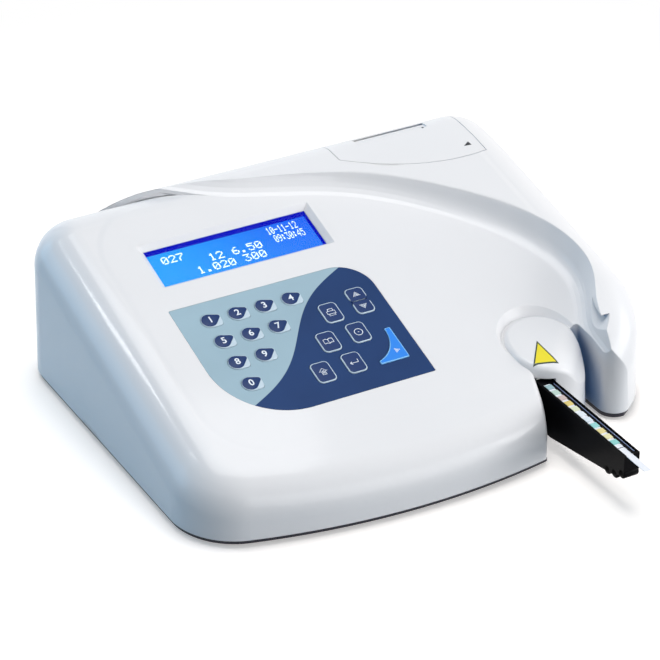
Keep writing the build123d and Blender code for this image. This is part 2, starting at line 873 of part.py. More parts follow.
def start_key(grow):
    """Outline of the start key: a right corner with a hollow curve across it."""
    top = (start_right - start_tip, start_high)
    heel = (start_left, start_low + start_heel)
    with BuildLine() as line:
        Line((start_left, start_low), (start_right, start_low))
        Line((start_right, start_low), (start_right, start_high))
        Line((start_right, start_high), top)
        ThreePointArc(top, (start_bay_x, start_bay_y), heel)
        Line(heel, (start_left, start_low))
    sheet = make_face(line.line)
    sheet = fillet(sheet.vertices(), start_round)
    return offset(sheet, grow) if grow else sheet


def key_outlines(grow):
    """Every key's name and outline in the panel's plane."""
    rows = ((1, 2, 3, 4), (5, 6, 7), (8, 9), (0,))
    outlines = {}
    for row, digits in enumerate(rows):
        for column, digit in enumerate(digits):
            x = key_first_x + column * key_pitch
            y = key_first_y - row * key_pitch
            outlines[str(digit)] = drop_key(x, y, grow)
    for name, (x, y) in function_keys.items():
        outlines[name] = box_key(x, y, box_key_height, grow)
    outlines["up"] = box_key(arrow_key_x, arrow_up_y, arrow_key_height, grow)
    outlines["down"] = box_key(arrow_key_x, arrow_down_y, arrow_key_height, grow)
    outlines["start"] = start_key(grow)
    return outlines


def make_keypad():
    """Backing circuit, printed overlay with an opening for each key, and the keys."""
    backing = in_panel(keypad_outline(keypad_fit), keypad_recess - backing_thick, keypad_recess)
    overlay = in_panel(keypad_outline(keypad_fit), keypad_recess - backing_thick - overlay_thick,
                       keypad_recess - backing_thick)
    for outline in key_outlines(key_gap).values():
        overlay = overlay - in_panel(outline, -skim, keypad_recess)
    keys = {}
    for name, outline in key_outlines(0).items():
        key = in_panel(outline, -key_rise, overlay_thick - key_float)
        rim = key.faces().sort_by(Axis(panel.origin, panel.z_dir))[-1].edges()
        keys["key_" + name] = chamfer(rim, key_edge)
    return backing, overlay, keys


def involute(ratio):
    """Involute angle of a pressure angle given by its cosine."""
    angle = acos(ratio)
    return tan(angle) - angle


def gear_outline(module, teeth, turn):
    """Spur gear outline with involute flanks, one tooth at the turn angle."""
    pitch_radius = module * teeth / 2
    base_radius = pitch_radius * cos(radians(pressure_angle))
    tip = pitch_radius + module
    root = pitch_radius - module - module / 4
    low = max(base_radius, root)
    half = pi / 2 / teeth - mesh_play / 2 / pitch_radius + involute(cos(radians(pressure_angle)))
    steps = 3
    flank = []
    for step in range(steps + 1):
        radius = low + (tip - low) * step / steps
        flank.append((radius, half - involute(base_radius / radius)))
    points = []
    for tooth in range(teeth):
        middle = 2 * pi * tooth / teeth + turn
        points.append((root, middle - flank[0][1]))
        points += [(radius, middle - angle) for radius, angle in flank]
        points += [(radius, middle + angle) for radius, angle in reversed(flank)]
        points.append((root, middle + flank[0][1]))
    places = [(radius * cos(angle), radius * sin(angle)) for radius, angle in points]
    return make_face(Polyline(*places, close=True))


def rack_outline():
    """Rack teeth in plan, from the carriage's flank outwards, with a gap at the pinion."""
    pitch = pi * gear_module
    line_x = carriage_x + carriage_width / 2 + rack_back
    root_x = line_x - gear_module - gear_module / 4
    tip_x = line_x + gear_module
    lean = tan(radians(pressure_angle))
    half = pitch / 4 - mesh_play / 2
    ahead = int((carriage_travel + rack_margin) / pitch) + 1
    count = ahead + rack_tail_teeth
    first_y = pinion_y - ahead * pitch + pitch / 2
    points = [(carriage_x, first_y - pitch / 2)]
    points.append((root_x, first_y - pitch / 2))
    for tooth in range(count):
        y = first_y + tooth * pitch
        low, high = half + (line_x - root_x) * lean, half - gear_module * lean
        points += [(root_x, y - low), (tip_x, y - high), (tip_x, y + high), (root_x, y + low)]
    end_y = first_y + count * pitch - pitch / 2
    points += [(root_x, end_y), (carriage_x, end_y)]
    return make_face(Polyline(*points, close=True))


def make_carriage():
    """Black strip carriage: a tall blade with the strip channel on top and a rack on its flank."""
    points = (
        (carriage_tail_y, carriage_foot),
        (carriage_rise_y, carriage_foot),
        (carriage_toe_y, carriage_tip_foot),
        (carriage_tip_y, carriage_tip_foot + carriage_toe + carriage_toe),
        (carriage_tip_y, carriage_top),
        (carriage_tail_y, carriage_top),
    )
    sheet = make_face(Polyline(*points, close=True))
    for y, z in points[2:4]:
        sheet = fillet(corners_near(sheet, y, z), carriage_toe)
    half = carriage_width / 2
    blade = Pos(carriage_x - half, 0, 0) * extrude(side * sheet, carriage_width)
    groove = strip_width / 2 + strip_play
    floor = carriage_top - groove_deep
    strip_back = rear_y + port_reach - total_depth + strip_length
    blade = blade - block(strip_x - groove, strip_x + groove, front_y - far, strip_back + strip_play,
                          floor, far)
    ledge_left = strip_x + groove + rail_wall
    ledge_right = carriage_x + half - rail_wall
    blade = blade - block(ledge_left, ledge_right, carriage_tip_y + rail_wall + rail_wall, strip_back,
                          carriage_top - ledge_deep, far)
    rack = extrude(Pos(0, 0, rack_low) * rack_outline(), rack_high - rack_low)
    inner = block(carriage_x, carriage_x + half, -far, far, rack_low, rack_high)
    blade = blade + (rack - inner)
    strip = block(strip_x - strip_width / 2, strip_x + strip_width / 2, strip_back - strip_length,
                  strip_back, floor, floor + strip_thick)
    pads = []
    for number in range(pad_count):
        y = strip_back - first_pad - number * pad_pitch
        pads.append(block(strip_x - strip_width / 2, strip_x + strip_width / 2, y - pad_long / 2,
                          y + pad_long / 2, floor + strip_thick, floor + strip_thick + pad_thick))
    tile_front = strip_back + tile_gap
    tile = block(strip_x - strip_width / 2, strip_x + strip_width / 2, tile_front, tile_front + tile_long,
                 carriage_top, carriage_top + tile_thick)
    return blade, strip, Compound(children=pads), tile


def make_drive():
    """Pinion on its shaft, the geared motor under it, and the motor's seat on the base."""
    x = carriage_x + carriage_width / 2 + rack_back + gear_module * pinion_teeth / 2 + mesh_play
    pinion = extrude(Pos(x, pinion_y, rack_low) * gear_outline(gear_module, pinion_teeth, pi),
                     rack_high - rack_low)
    motor_high = rack_low - motor_clear
    motor_low = motor_high - motor_tall
    pinion = pinion + post(x, pinion_y, motor_high - motor_sink, rack_high, shaft_radius - shaft_fit)
    motor = post(x, pinion_y, motor_low, motor_high, motor_radius)
    motor = motor - post(x, pinion_y, motor_low + motor_clear, motor_high + skim, shaft_radius)
    seat = block(x - motor_radius, x + motor_lug_span / 2, pinion_y - motor_radius - motor_lug,
                 pinion_y + motor_radius + motor_lug, base_top, motor_low)
    return pinion, motor, seat


def make_guide():
    """Channel that the carriage's foot slides in."""
    half = carriage_width / 2 + guide_gap
    floor = carriage_foot - guide_gap
    channel = block(carriage_x - half - guide_wall, carriage_x + half + guide_wall, guide_front_y,
                    guide_back_y, base_top, floor + guide_tall)
    return channel - block(carriage_x - half, carriage_x + half, -far, far, floor, far)


def make_head():
    """Optical head that bridges the strip path, and its two lenses."""
    low = carriage_top + head_gap
    left, right = carriage_x - head_width / 2, carriage_x + head_width / 2
    head = block(left, right, head_front_y, head_back_y, low, low + head_tall)
    for x in (left, right - head_post):
        head = head + block(x, x + head_post, head_front_y + head_post, head_front_y + head_post + head_post_long,
                            base_top, low)
    lenses = []
    middle = (head_front_y + head_back_y) / 2
    for number in range(lens_count):
        y = middle + (number - (lens_count - 1) / 2) * lens_pitch
        lens = post(strip_x, y, low - lens_sink, low + lens_sink, lens_radius)
        head = head - post(strip_x, y, low - skim, low + lens_sink, lens_radius + shaft_fit)
        lenses.append(lens)
    return head, Compound(children=lenses)


def make_printer():
    """Printer chassis and bay, print head, platen with its gear, motor and motor pinion."""
    inner_left, inner_right = paper_x - bay_width / 2, paper_x + bay_width / 2
    left, right = inner_left - frame_wall, inner_right + frame_wall
    tub = block(left, right, bay_front_y, bay_back_y, bay_floor - frame_wall, frame_top)
    tub = tub - block(inner_left, inner_right, bay_front_y + frame_wall, bay_back_y - frame_wall,
                      bay_floor, far)
    for x in (left, inner_right):
        tub = tub + block(x, x + frame_wall, bay_front_y, bay_back_y, base_top, bay_floor)
        tub = tub + block(x - (frame_foot if x == left else 0), x + frame_wall + (
            0 if x == left else frame_foot), bay_front_y, bay_back_y, base_top, base_top + frame_wall)
    tub = tub - bar(left - skim, right + skim, platen_y, platen_z, platen_shaft + shaft_fit)
    roller = bar(inner_left + roller_end_gap, inner_right - roller_end_gap, platen_y, platen_z,
                 platen_radius)
    gear_x = right + printer_motor_long + gear_gap
    shaft = bar(left - frame_wall, gear_x + gear_face, platen_y, platen_z, platen_shaft)
    roller = roller - bar(inner_left, inner_right, platen_y, platen_z, platen_shaft)
    gear_plane = Plane(origin=(gear_x, platen_y, platen_z), x_dir=(0, 1, 0), z_dir=(1, 0, 0))
    gear = extrude(gear_plane * gear_outline(printer_module, platen_teeth, pi), gear_face)
    gear = gear - bar(gear_x - skim, gear_x + gear_face + skim, platen_y, platen_z, platen_shaft)
    reach = printer_module * (platen_teeth + printer_pinion_teeth) / 2 + mesh_play
    motor_y = platen_y - reach
    pinion_plane = Plane(origin=(gear_x, motor_y, platen_z), x_dir=(0, 1, 0), z_dir=(1, 0, 0))
    pinion = extrude(
        pinion_plane * gear_outline(printer_module, printer_pinion_teeth, pi / printer_pinion_teeth),
        gear_face)
    pinion = pinion + bar(gear_x - gear_gap - gear_face, gear_x, motor_y, platen_z,
                          printer_shaft - shaft_fit)
    motor = bar(right, right + printer_motor_long, motor_y, platen_z, printer_motor_radius)
    motor = motor - bar(gear_x - gear_gap - gear_face - gear_gap, gear_x, motor_y, platen_z, printer_shaft)
    head_y = platen_y + platen_radius + print_head_gap
    head = block(inner_left, inner_right, head_y, bay_back_y - frame_wall,
                 platen_z - print_head_tall / 2, platen_z + print_head_tall / 4)
    return tub, head, roller, shaft, gear, motor, pinion


def make_boards():
    """Main board on its standoffs, with its chips, and the supply's cage and board."""
    low = base_top + board_lift
    board = block(board_left, board_right, board_front_y, board_back_y, low, low + board_thick)
    standoffs = []
    for x in (board_left + board_margin, (board_left + board_right) / 2, board_right - board_margin):
        for y in (board_front_y + board_margin, board_back_y - board_margin):
            standoffs.append(post(x, y, base_top, low, standoff_radius))
    top = low + board_thick
    chips = []
    for share_x, share_y, size in chip_shares:
        x = board_left + (board_right - board_left) * share_x
        y = board_front_y + (board_back_y - board_front_y) * share_y
        half = chip_large * size / 2
        chips.append(block(x - half, x + half, y - half, y + half, top, top + chip_tall))
    cage = block(supply_left, supply_right, supply_front_y, supply_back_y, base_top,
                 base_top + supply_tall)
    cage = cage - block(supply_left + supply_wall, supply_right - supply_wall,
                        supply_front_y + supply_wall, supply_back_y - supply_wall, -far,
                        base_top + supply_tall - supply_wall)
    pitch = (supply_right - supply_left) / (supply_slot_count + 1)
    for number in range(supply_slot_count):
        x = supply_left + (number + 1) * pitch
        cage = cage - block(x - supply_slot / 2, x + supply_slot / 2, supply_front_y + board_margin,
                            supply_back_y - board_margin, base_top + supply_tall - supply_wall - skim, far)
    supply = block(supply_left + supply_wall + lip_gap, supply_right - supply_wall - lip_gap,
                   supply_front_y + supply_wall + lip_gap, supply_back_y - supply_wall - lip_gap,
                   base_top, base_top + board_thick)
    half = chip_large / 2
    middle = ((supply_left + supply_right) / 2, (supply_front_y + supply_back_y) / 2)
    supply = supply + block(middle[0] - half, middle[0] + half, middle[1] - half, middle[1] + half,
                            base_top + board_thick, base_top + chip_large)
    return board, Compound(children=standoffs), Compound(children=chips), cage, supply


def make_inlet():
    """Mains inlet with its pins, and the fuse drawer beside the socket."""
    flange = block_on_seat(inlet_x, inlet_width, inlet_height, seat_y, 0)
    flange = flange & block(-far, far, seat_y, seat_y + inlet_flange_thick, 0, far)
    body = block_on_seat(inlet_x, inlet_width - inlet_flange, inlet_height - inlet_flange,
                         seat_y - inlet_deep, 0)
    body = body & block(-far, far, -far, seat_y, 0, far)
    front = seat_y + inlet_flange_thick
    socket = Rectangle(socket_width, socket_height)
    socket = chamfer(socket.vertices().sort_by(Axis.Y)[-2:], socket_corner)
    rear_plane = Plane(origin=(inlet_x + socket_shift, front, connector_z), x_dir=(1, 0, 0),
                       z_dir=(0, -1, 0))
    socket = rear_plane * extrude(mirror(socket, Plane.XZ), socket_deep)
    drawer_x = inlet_x + drawer_shift
    drawer_hole = block_at(drawer_x, drawer_width + 2 * drawer_gap, drawer_height + 2 * drawer_gap,
                           front - drawer_long - drawer_gap, front + skim)
    inlet = flange + body - socket - drawer_hole
    pins = []
    for x, z in ((-pin_span / 2, pin_low), (pin_span / 2, pin_low), (0, pin_high)):
        spot_x, spot_z = inlet_x + socket_shift + x, connector_z + z
        pins.append(block(spot_x - pin_thick / 2, spot_x + pin_thick / 2, front - socket_deep,
                          front - socket_deep + pin_long, spot_z - pin_wide / 2, spot_z + pin_wide / 2))
    drawer = block_at(drawer_x, drawer_width, drawer_height, front - drawer_long, front)
    grip = block_at(drawer_x, drawer_width, drawer_face, front, front + drawer_face)
    return inlet, Compound(children=pins), drawer + grip


def block_at(x, width, height, y0, y1):
    """Box centred on the connectors' line, between two depths."""
    return block(x - width / 2, x + width / 2, y0, y1, connector_z - height / 2, connector_z + height / 2)


def make_switch():
    """Power switch: its frame, and the rocker on its pivot."""
    frame = block_at(rocker_x, rocker_frame_width, rocker_frame_height, seat_y, seat_y + inlet_flange_thick)
    frame = frame + block_at(rocker_x, rocker_frame_width - rocker_wall,
                             rocker_frame_height - rocker_wall, seat_y - rocker_deep, seat_y)
    inner_width = rocker_frame_width - rocker_rim
    inner_height = rocker_frame_height - rocker_rim
    frame = frame - block_at(rocker_x, inner_width, inner_height, seat_y - rocker_deep + rocker_wall, far)
    pivot_y = seat_y - rocker_pin
    half = inner_width / 2 - rocker_gap
    radius = inner_height / 2 - rocker_gap
    disc = bar(rocker_x - half, rocker_x + half, pivot_y, connector_z, radius)
    cheek = Plane(origin=(rocker_x - half, pivot_y, connector_z), x_dir=(0, 1, 0), z_dir=(1, 0, 0))
    rise = radius * rocker_rise_share
    lean = tan(radians(rocker_tilt))
    back = -radius * rocker_back_share
    points = ((back, -radius), (rise + radius * lean, -radius), (rise, 0), (rise + radius * lean, radius),
              (back, radius))
    face = make_face(Polyline(*points, close=True))
    paddle = cheek * Rot(0, 0, rocker_tilt) * extrude(face, half + half)
    paddle = disc & paddle
    pin = bar(rocker_x - inner_width / 2 - rocker_pin / 2, rocker_x + inner_width / 2 + rocker_pin / 2,
              pivot_y, connector_z, rocker_pin)
    hole = bar(rocker_x - inner_width / 2 - rocker_pin, rocker_x + inner_width / 2 + rocker_pin, pivot_y,
               connector_z, rocker_pin + shaft_fit)
    return frame - hole, paddle + pin


def make_port():
    """Nine-way serial port with its two jack nuts."""
    flange_out = seat_y + port_flange
    out_y = rear_y + port_reach
    flange = block_at(port_x, port_width, port_height, seat_y, flange_out)
    flange = fillet(flange.edges().filter_by(Axis.Y), plug_round)
    plane = Plane(origin=(port_x, seat_y - port_deep, connector_z), x_dir=(1, 0, 0), z_dir=(0, -1, 0))
    narrow = plug_width / 2 - plug_height * tan(radians(plug_lean))
    corners = ((-plug_width / 2, plug_height / 2), (plug_width / 2, plug_height / 2),
               (narrow, -plug_height / 2), (-narrow, -plug_height / 2))
    sheet = make_face(Polyline(*corners, close=True))
    sheet = fillet(sheet.vertices(), plug_round)
    core = plane * extrude(sheet, -(out_y - seat_y + port_deep))
    cup = plane * extrude(offset(sheet, -plug_wall), -(out_y - seat_y + port_deep + skim))
    cup = cup & block(-far, far, out_y - plug_core_deep, far, 0, far)
    port = flange + core - cup
    nuts = []
    for turn in (-1, 1):
        x = port_x + turn * nut_span / 2
        spot = Plane(origin=(x, flange_out, connector_z), x_dir=(1, 0, 0), z_dir=(0, 1, 0))
        bore = Pos(x, seat_y, connector_z) * Rot(90, 0, 0) * Cylinder(nut_hole, nut_long + nut_long + overrun)
        port = port - bore
        nuts.append(extrude(spot * RegularPolygon(nut_across / sqrt(3), 6), nut_long) - bore)
    return port, Compound(children=nuts)


def make_parts():
    """Every sub-part under its node's name."""
    parts = {}
    parts["top_shell"], parts["printer_hatch"] = make_housing()
    parts["base_tray"] = make_base()
    parts["rubber_feet"] = make_feet()
    parts["housing_screws"] = make_screws()
    names = ("display_window", "display_frame", "display_glass", "display_backlight", "display_board",
             "display_screws")
    parts.update(zip(names, make_display()))
    parts["keypad_backing"], parts["keypad_overlay"], keys = make_keypad()
    parts.update(keys)
    names = ("strip_carriage", "test_strip", "reagent_pads", "reference_tile")
    parts.update(zip(names, make_carriage()))
    parts["drive_pinion"], parts["carriage_motor"], parts["motor_seat"] = make_drive()
    parts["carriage_guide"] = make_guide()
    parts["optical_head"], parts["head_lenses"] = make_head()
    names = ("printer_frame", "print_head", "platen_roller", "platen_shaft", "platen_gear",
             "printer_motor", "printer_pinion")
    parts.update(zip(names, make_printer()))
    names = ("main_board", "board_standoffs", "board_chips", "supply_cage", "supply_board")
    parts.update(zip(names, make_boards()))
    parts["mains_inlet"], parts["inlet_pins"], parts["fuse_drawer"] = make_inlet()
    parts["switch_frame"], parts["power_rocker"] = make_switch()
    parts["serial_port"], parts["port_nuts"] = make_port()
    return parts


def main():
    """Write one file for each sub-part."""
    os.makedirs("parts", exist_ok=True)
    for name, shape in make_parts().items():
        export_step(shape, "parts/" + name + ".step")


main()
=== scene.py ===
import json
import logging
import math
from collections.abc import Iterable, Sequence
from dataclasses import dataclass, field
from enum import Enum

import bmesh
import bpy
from mathutils import Matrix, Vector
from mathutils.bvhtree import BVHTree


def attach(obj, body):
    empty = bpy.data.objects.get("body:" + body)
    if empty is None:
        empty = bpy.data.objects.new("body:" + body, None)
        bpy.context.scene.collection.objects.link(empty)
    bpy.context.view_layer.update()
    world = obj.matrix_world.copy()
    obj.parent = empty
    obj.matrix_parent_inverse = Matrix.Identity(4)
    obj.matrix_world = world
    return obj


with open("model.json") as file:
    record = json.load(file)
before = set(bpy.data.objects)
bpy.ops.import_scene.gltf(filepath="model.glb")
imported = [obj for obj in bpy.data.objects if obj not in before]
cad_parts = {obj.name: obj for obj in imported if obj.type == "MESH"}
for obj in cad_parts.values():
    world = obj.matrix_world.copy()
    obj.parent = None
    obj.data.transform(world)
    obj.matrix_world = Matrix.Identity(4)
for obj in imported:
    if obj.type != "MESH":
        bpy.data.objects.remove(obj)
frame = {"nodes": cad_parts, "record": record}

log = logging.getLogger("analyzer")
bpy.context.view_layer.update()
MM = 0.001
Point = tuple[float, float]
Place = tuple[float, float, float]
Colour = tuple[float, float, float]
Socket = bpy.types.NodeSocket
Source = Socket | float | tuple[float, ...]
ACROSS = (1.0, 0.0, 0.0)
BACK = (0.0, 1.0, 0.0)
LEVEL = (1.0, 1.0, 0.0)
WHITE = (1.0, 1.0, 1.0, 1.0)
CLOUD_SPAN = (0.3, 0.7)
TO_METRES = Matrix.Scale(MM, 4)
REPEAT_INPUTS = ("Width", "Depth", "Height", "Tilt")


def tone(red: int, green: int, blue: int) -> Colour:
    """Turns a screen colour into a linear one.

    Args:
        red: Red from 0 to 255.
        green: Green from 0 to 255.
        blue: Blue from 0 to 255.

    Returns:
        The linear colour, each channel from 0 to 1.
    """
    # The standard screen curve: a straight line near black and a power above it.
    shares = (red / 255, green / 255, blue / 255)
    return tuple(c / 12.92 if c <= 0.04045 else ((c + 0.055) / 1.055) ** 2.4 for c in shares)


def shade(colour: Colour, share: float) -> Colour:
    """Makes a colour darker or lighter.

    Args:
        colour: The linear colour.
        share: What each channel is multiplied by.

    Returns:
        The new colour, no channel above 1.
    """
    return tuple(min(1.0, channel * share) for channel in colour)


def placed(name: str, data: bpy.types.ID) -> bpy.types.Object:
    """Adds an object to the scene.

    Args:
        name: The object's name.
        data: Its mesh, curve, lamp or camera.

    Returns:
        The object.
    """
    added = bpy.data.objects.new(name, data)
    bpy.context.scene.collection.objects.link(added)
    return added


def evaluated(holder: bpy.types.Object) -> bpy.types.Mesh:
    """Returns the evaluated shape of an object as a plain mesh."""
    bpy.context.view_layer.update()
    return bpy.data.meshes.new_from_object(holder.evaluated_get(bpy.context.evaluated_depsgraph_get()))


class Wiring:
    """Adds and links the nodes of one tree."""

    def __init__(self, tree: bpy.types.NodeTree) -> None:
        """Starts on an empty tree.

        Args:
            tree: The node tree to fill.
        """
        self.tree = tree
        self.tree.nodes.clear()

    def add(self, kind: str, inputs: dict | None = None, **options: str | int) -> bpy.types.Node:
        """Adds a node.

        Args:
            kind: The node's type name.
            inputs: Socket name or number to a value or to another node's output.
            **options: The node's own settings.

        Returns:
            The new node.
        """
        node = self.tree.nodes.new(kind)
        for name, value in options.items():
            setattr(node, name, value)
        for name, value in (inputs or {}).items():
            if isinstance(value, Socket):
                self.tree.links.new(value, node.inputs[name])
            else:
                node.inputs[name].default_value = value
        return node

    def math(self, operation: str, *values: Source) -> Socket:
        """Adds a Math node.

        Args:
            operation: The operation's name.
            *values: Numbers or sockets for its inputs.

        Returns:
            Its output socket.
        """
        return self.add("ShaderNodeMath", dict(enumerate(values)), operation=operation).outputs[0]

    def vector(self, operation: str, *values: Source) -> bpy.types.Node:
        """Adds a Vector Math node.

        Args:
            operation: The operation's name.
            *values: Vectors or sockets for its inputs.

        Returns:
            The node, whose outputs are Vector and Value.
        """
        return self.add("ShaderNodeVectorMath", dict(enumerate(values)), operation=operation)

    def scaled(self, colour: Socket, share: Source) -> Socket:
        """Returns a colour's socket times a number or a socket."""
        return self.add("ShaderNodeVectorMath", {0: colour, "Scale": share}, operation="SCALE").outputs[0]

    def place(self) -> Socket:
        """Returns the Object coordinates."""
        return self.add("ShaderNodeTexCoord").outputs["Object"]

    def along(self, direction: Place, start: float = 0.0) -> Socket:
        """Measures how far a point lies along a direction.

        Args:
            direction: The direction, of length 1.
            start: The distance in metres that counts as zero.

        Returns:
            The distance's socket, in metres.
        """
        dot = self.vector("DOT_PRODUCT", self.place(), direction).outputs["Value"]
        return self.math("SUBTRACT", dot, start)

    def noise(self, scale: float, detail: float = 2.0, where: Socket | None = None) -> Socket:
        """Adds a Noise Texture.

        Args:
            scale: Cells per metre.
            detail: Octaves.
            where: A vector socket to read in place of the Object coordinates.

        Returns:
            Its factor socket.
        """
        inputs = {"Vector": where or self.place(), "Scale": scale, "Detail": detail}
        return self.add("ShaderNodeTexNoise", inputs).outputs["Fac"]

    def step(self, value: Socket, low: float, high: float) -> Socket:
        """Adds a smooth step.

        Args:
            value: The socket that is measured.
            low: Where the step starts, giving 0.
            high: Where the step ends, giving 1.

        Returns:
            The step's socket.
        """
        inputs = {"Value": value, "From Min": low, "From Max": high, "To Min": 0.0, "To Max": 1.0}
        node = self.add("ShaderNodeMapRange", inputs, interpolation_type="SMOOTHSTEP")
        return node.outputs["Result"]

    def mix(self, factor: Source, low: Source, high: Source) -> Socket:
        """Blends two colours.

        Args:
            factor: The socket or number that gives the share of the second one.
            low: The first colour or socket.
            high: The second colour or socket.

        Returns:
            The blended colour's socket.
        """
        node = self.add("ShaderNodeMix", data_type="RGBA")
        for number, value in ((0, factor), (6, low), (7, high)):
            if isinstance(value, Socket):
                self.tree.links.new(value, node.inputs[number])
            else:
                node.inputs[number].default_value = (*value, 1.0) if number else value
        return node.outputs[2]

    def ramp(self, factor: Socket, stops: Sequence[tuple[float, Colour]],
             constant: bool = False) -> Socket:
        """Adds a Color Ramp.

        Args:
            factor: The socket that drives it.
            stops: Position and colour of each stop.
            constant: True for steps in place of a blend.

        Returns:
            Its colour socket.
        """
        node = self.add("ShaderNodeValToRGB", {"Fac": factor})
        node.color_ramp.interpolation = "CONSTANT" if constant else "LINEAR"
        elements = node.color_ramp.elements
        while len(elements) < len(stops):
            elements.new(1.0)
        for element, (position, colour) in zip(elements, stops):
            element.position = position
            element.color = (*colour, 1.0)
        return node.outputs["Color"]

    def cloudy(self, factor: Socket, low: Colour, high: Colour) -> Socket:
        """Blends two colours over the middle of a noise.

        Args:
            factor: The noise's socket.
            low: The colour where it is low.
            high: The colour where it is high.

        Returns:
            The colour's socket.
        """
        return self.ramp(factor, list(zip(CLOUD_SPAN, (low, high))))

    def spread(self, factor: Socket, reach: float, low: float) -> Socket:
        """Returns a noise stretched over a reach above a low value."""
        return self.math("MULTIPLY_ADD", factor, reach, low)

    def inverse(self, share: Socket) -> Socket:
        """Returns 1 less a share."""
        return self.math("SUBTRACT", 1.0, share)

    def bump(self, height: Socket, distance: float, normal: Socket | None = None) -> Socket:
        """Adds a Bump node.

        Args:
            height: The socket of the relief, from 0 to 1.
            distance: The relief's height in metres.
            normal: The normal that it starts from.

        Returns:
            The new normal's socket.
        """
        inputs = {"Height": height, "Distance": distance, "Strength": 1.0}
        if normal is not None:
            inputs["Normal"] = normal
        return self.add("ShaderNodeBump", inputs).outputs[0]

    def seen(self) -> Socket:
        """Finds the rays that look at the background.

        Returns:
            A socket that is 1 for camera, glossy and transmission rays.
        """
        path = self.add("ShaderNodeLightPath").outputs
        shown = self.math("MAXIMUM", path["Is Camera Ray"], path["Is Glossy Ray"])
        return self.math("MAXIMUM", shown, path["Is Transmission Ray"])

    def blend(self, factor: Socket, low: Socket, high: Socket) -> Socket:
        """Blends two shaders by a factor's socket and returns the blend's socket."""
        return self.add("ShaderNodeMixShader", {"Fac": factor, 1: low, 2: high}).outputs[0]

    def glow(self, strength: float, kind: str = "ShaderNodeEmission") -> Socket:
        """Adds a white glow and returns its socket."""
        return self.add(kind, {"Color": WHITE, "Strength": strength}).outputs[0]

    def close(self, inputs: dict) -> None:
        """Ends a material in a Principled shader.

        Args:
            inputs: Values and sockets for the shader's inputs.
        """
        surface = self.add("ShaderNodeBsdfPrincipled", inputs)
        self.add("ShaderNodeOutputMaterial", {"Surface": surface.outputs[0]})


class Grain(Enum):
    """How a finish's fine marks run, as the stretch of its noise on each axis."""

    EVEN = (1.0, 1.0, 1.0)
    ACROSS = (0.04, 1.0, 1.0)
    LONG = (1.0, 0.04, 1.0)
    UPRIGHT = (1.0, 1.0, 0.04)


class Surface:
    """A material that a finish fills from its own colours and sizes."""

    name: str

    def material(self) -> bpy.types.Material:
        """Builds the material.

        Returns:
            The material, with the finish's nodes.
        """
        made = bpy.data.materials.new(self.name)
        made.use_nodes = True
        self.fill(Wiring(made.node_tree))
        return made

    def fill(self, wiring: Wiring) -> None:
        """Fills the tree, each finish in its own way."""
        raise NotImplementedError


@dataclass(frozen=True)
class Finish(Surface):
    """A moulded, rolled, plated or painted surface with fine marks."""

    name: str
    colour: Colour
    roughness: float = 0.4
    metallic: float = 0.0
    coat: float = 0.0
    gloss: float = 0.35
    mottle: float = 0.06
    scale: float = 1400.0
    depth: float = 0.00001
    uneven: float = 0.06
    grain: Grain = Grain.EVEN
    cloud: float = 24.0
    detail: float = 3.0
    coat_roughness: float = 0.08

    def fill(self, wiring: Wiring) -> None:
        """Sets the colour, roughness and fine relief from noise.

        Args:
            wiring: The material's wiring.
        """
        where = wiring.add("ShaderNodeMapping", {"Vector": wiring.place(), "Scale": self.grain.value})
        broad = wiring.noise(self.cloud, self.detail)
        fine = wiring.noise(self.scale, self.detail, where.outputs[0])
        colour = wiring.cloudy(broad, shade(self.colour, 1.0 - self.mottle), self.colour)
        rough = wiring.spread(fine, self.uneven * 2, self.roughness - self.uneven)
        wiring.close({"Base Color": colour, "Roughness": rough, "Metallic": self.metallic,
                      "Coat Weight": self.coat, "Coat Roughness": self.coat_roughness,
                      "Specular IOR Level": self.gloss,
                      "Normal": wiring.bump(fine, self.depth)})


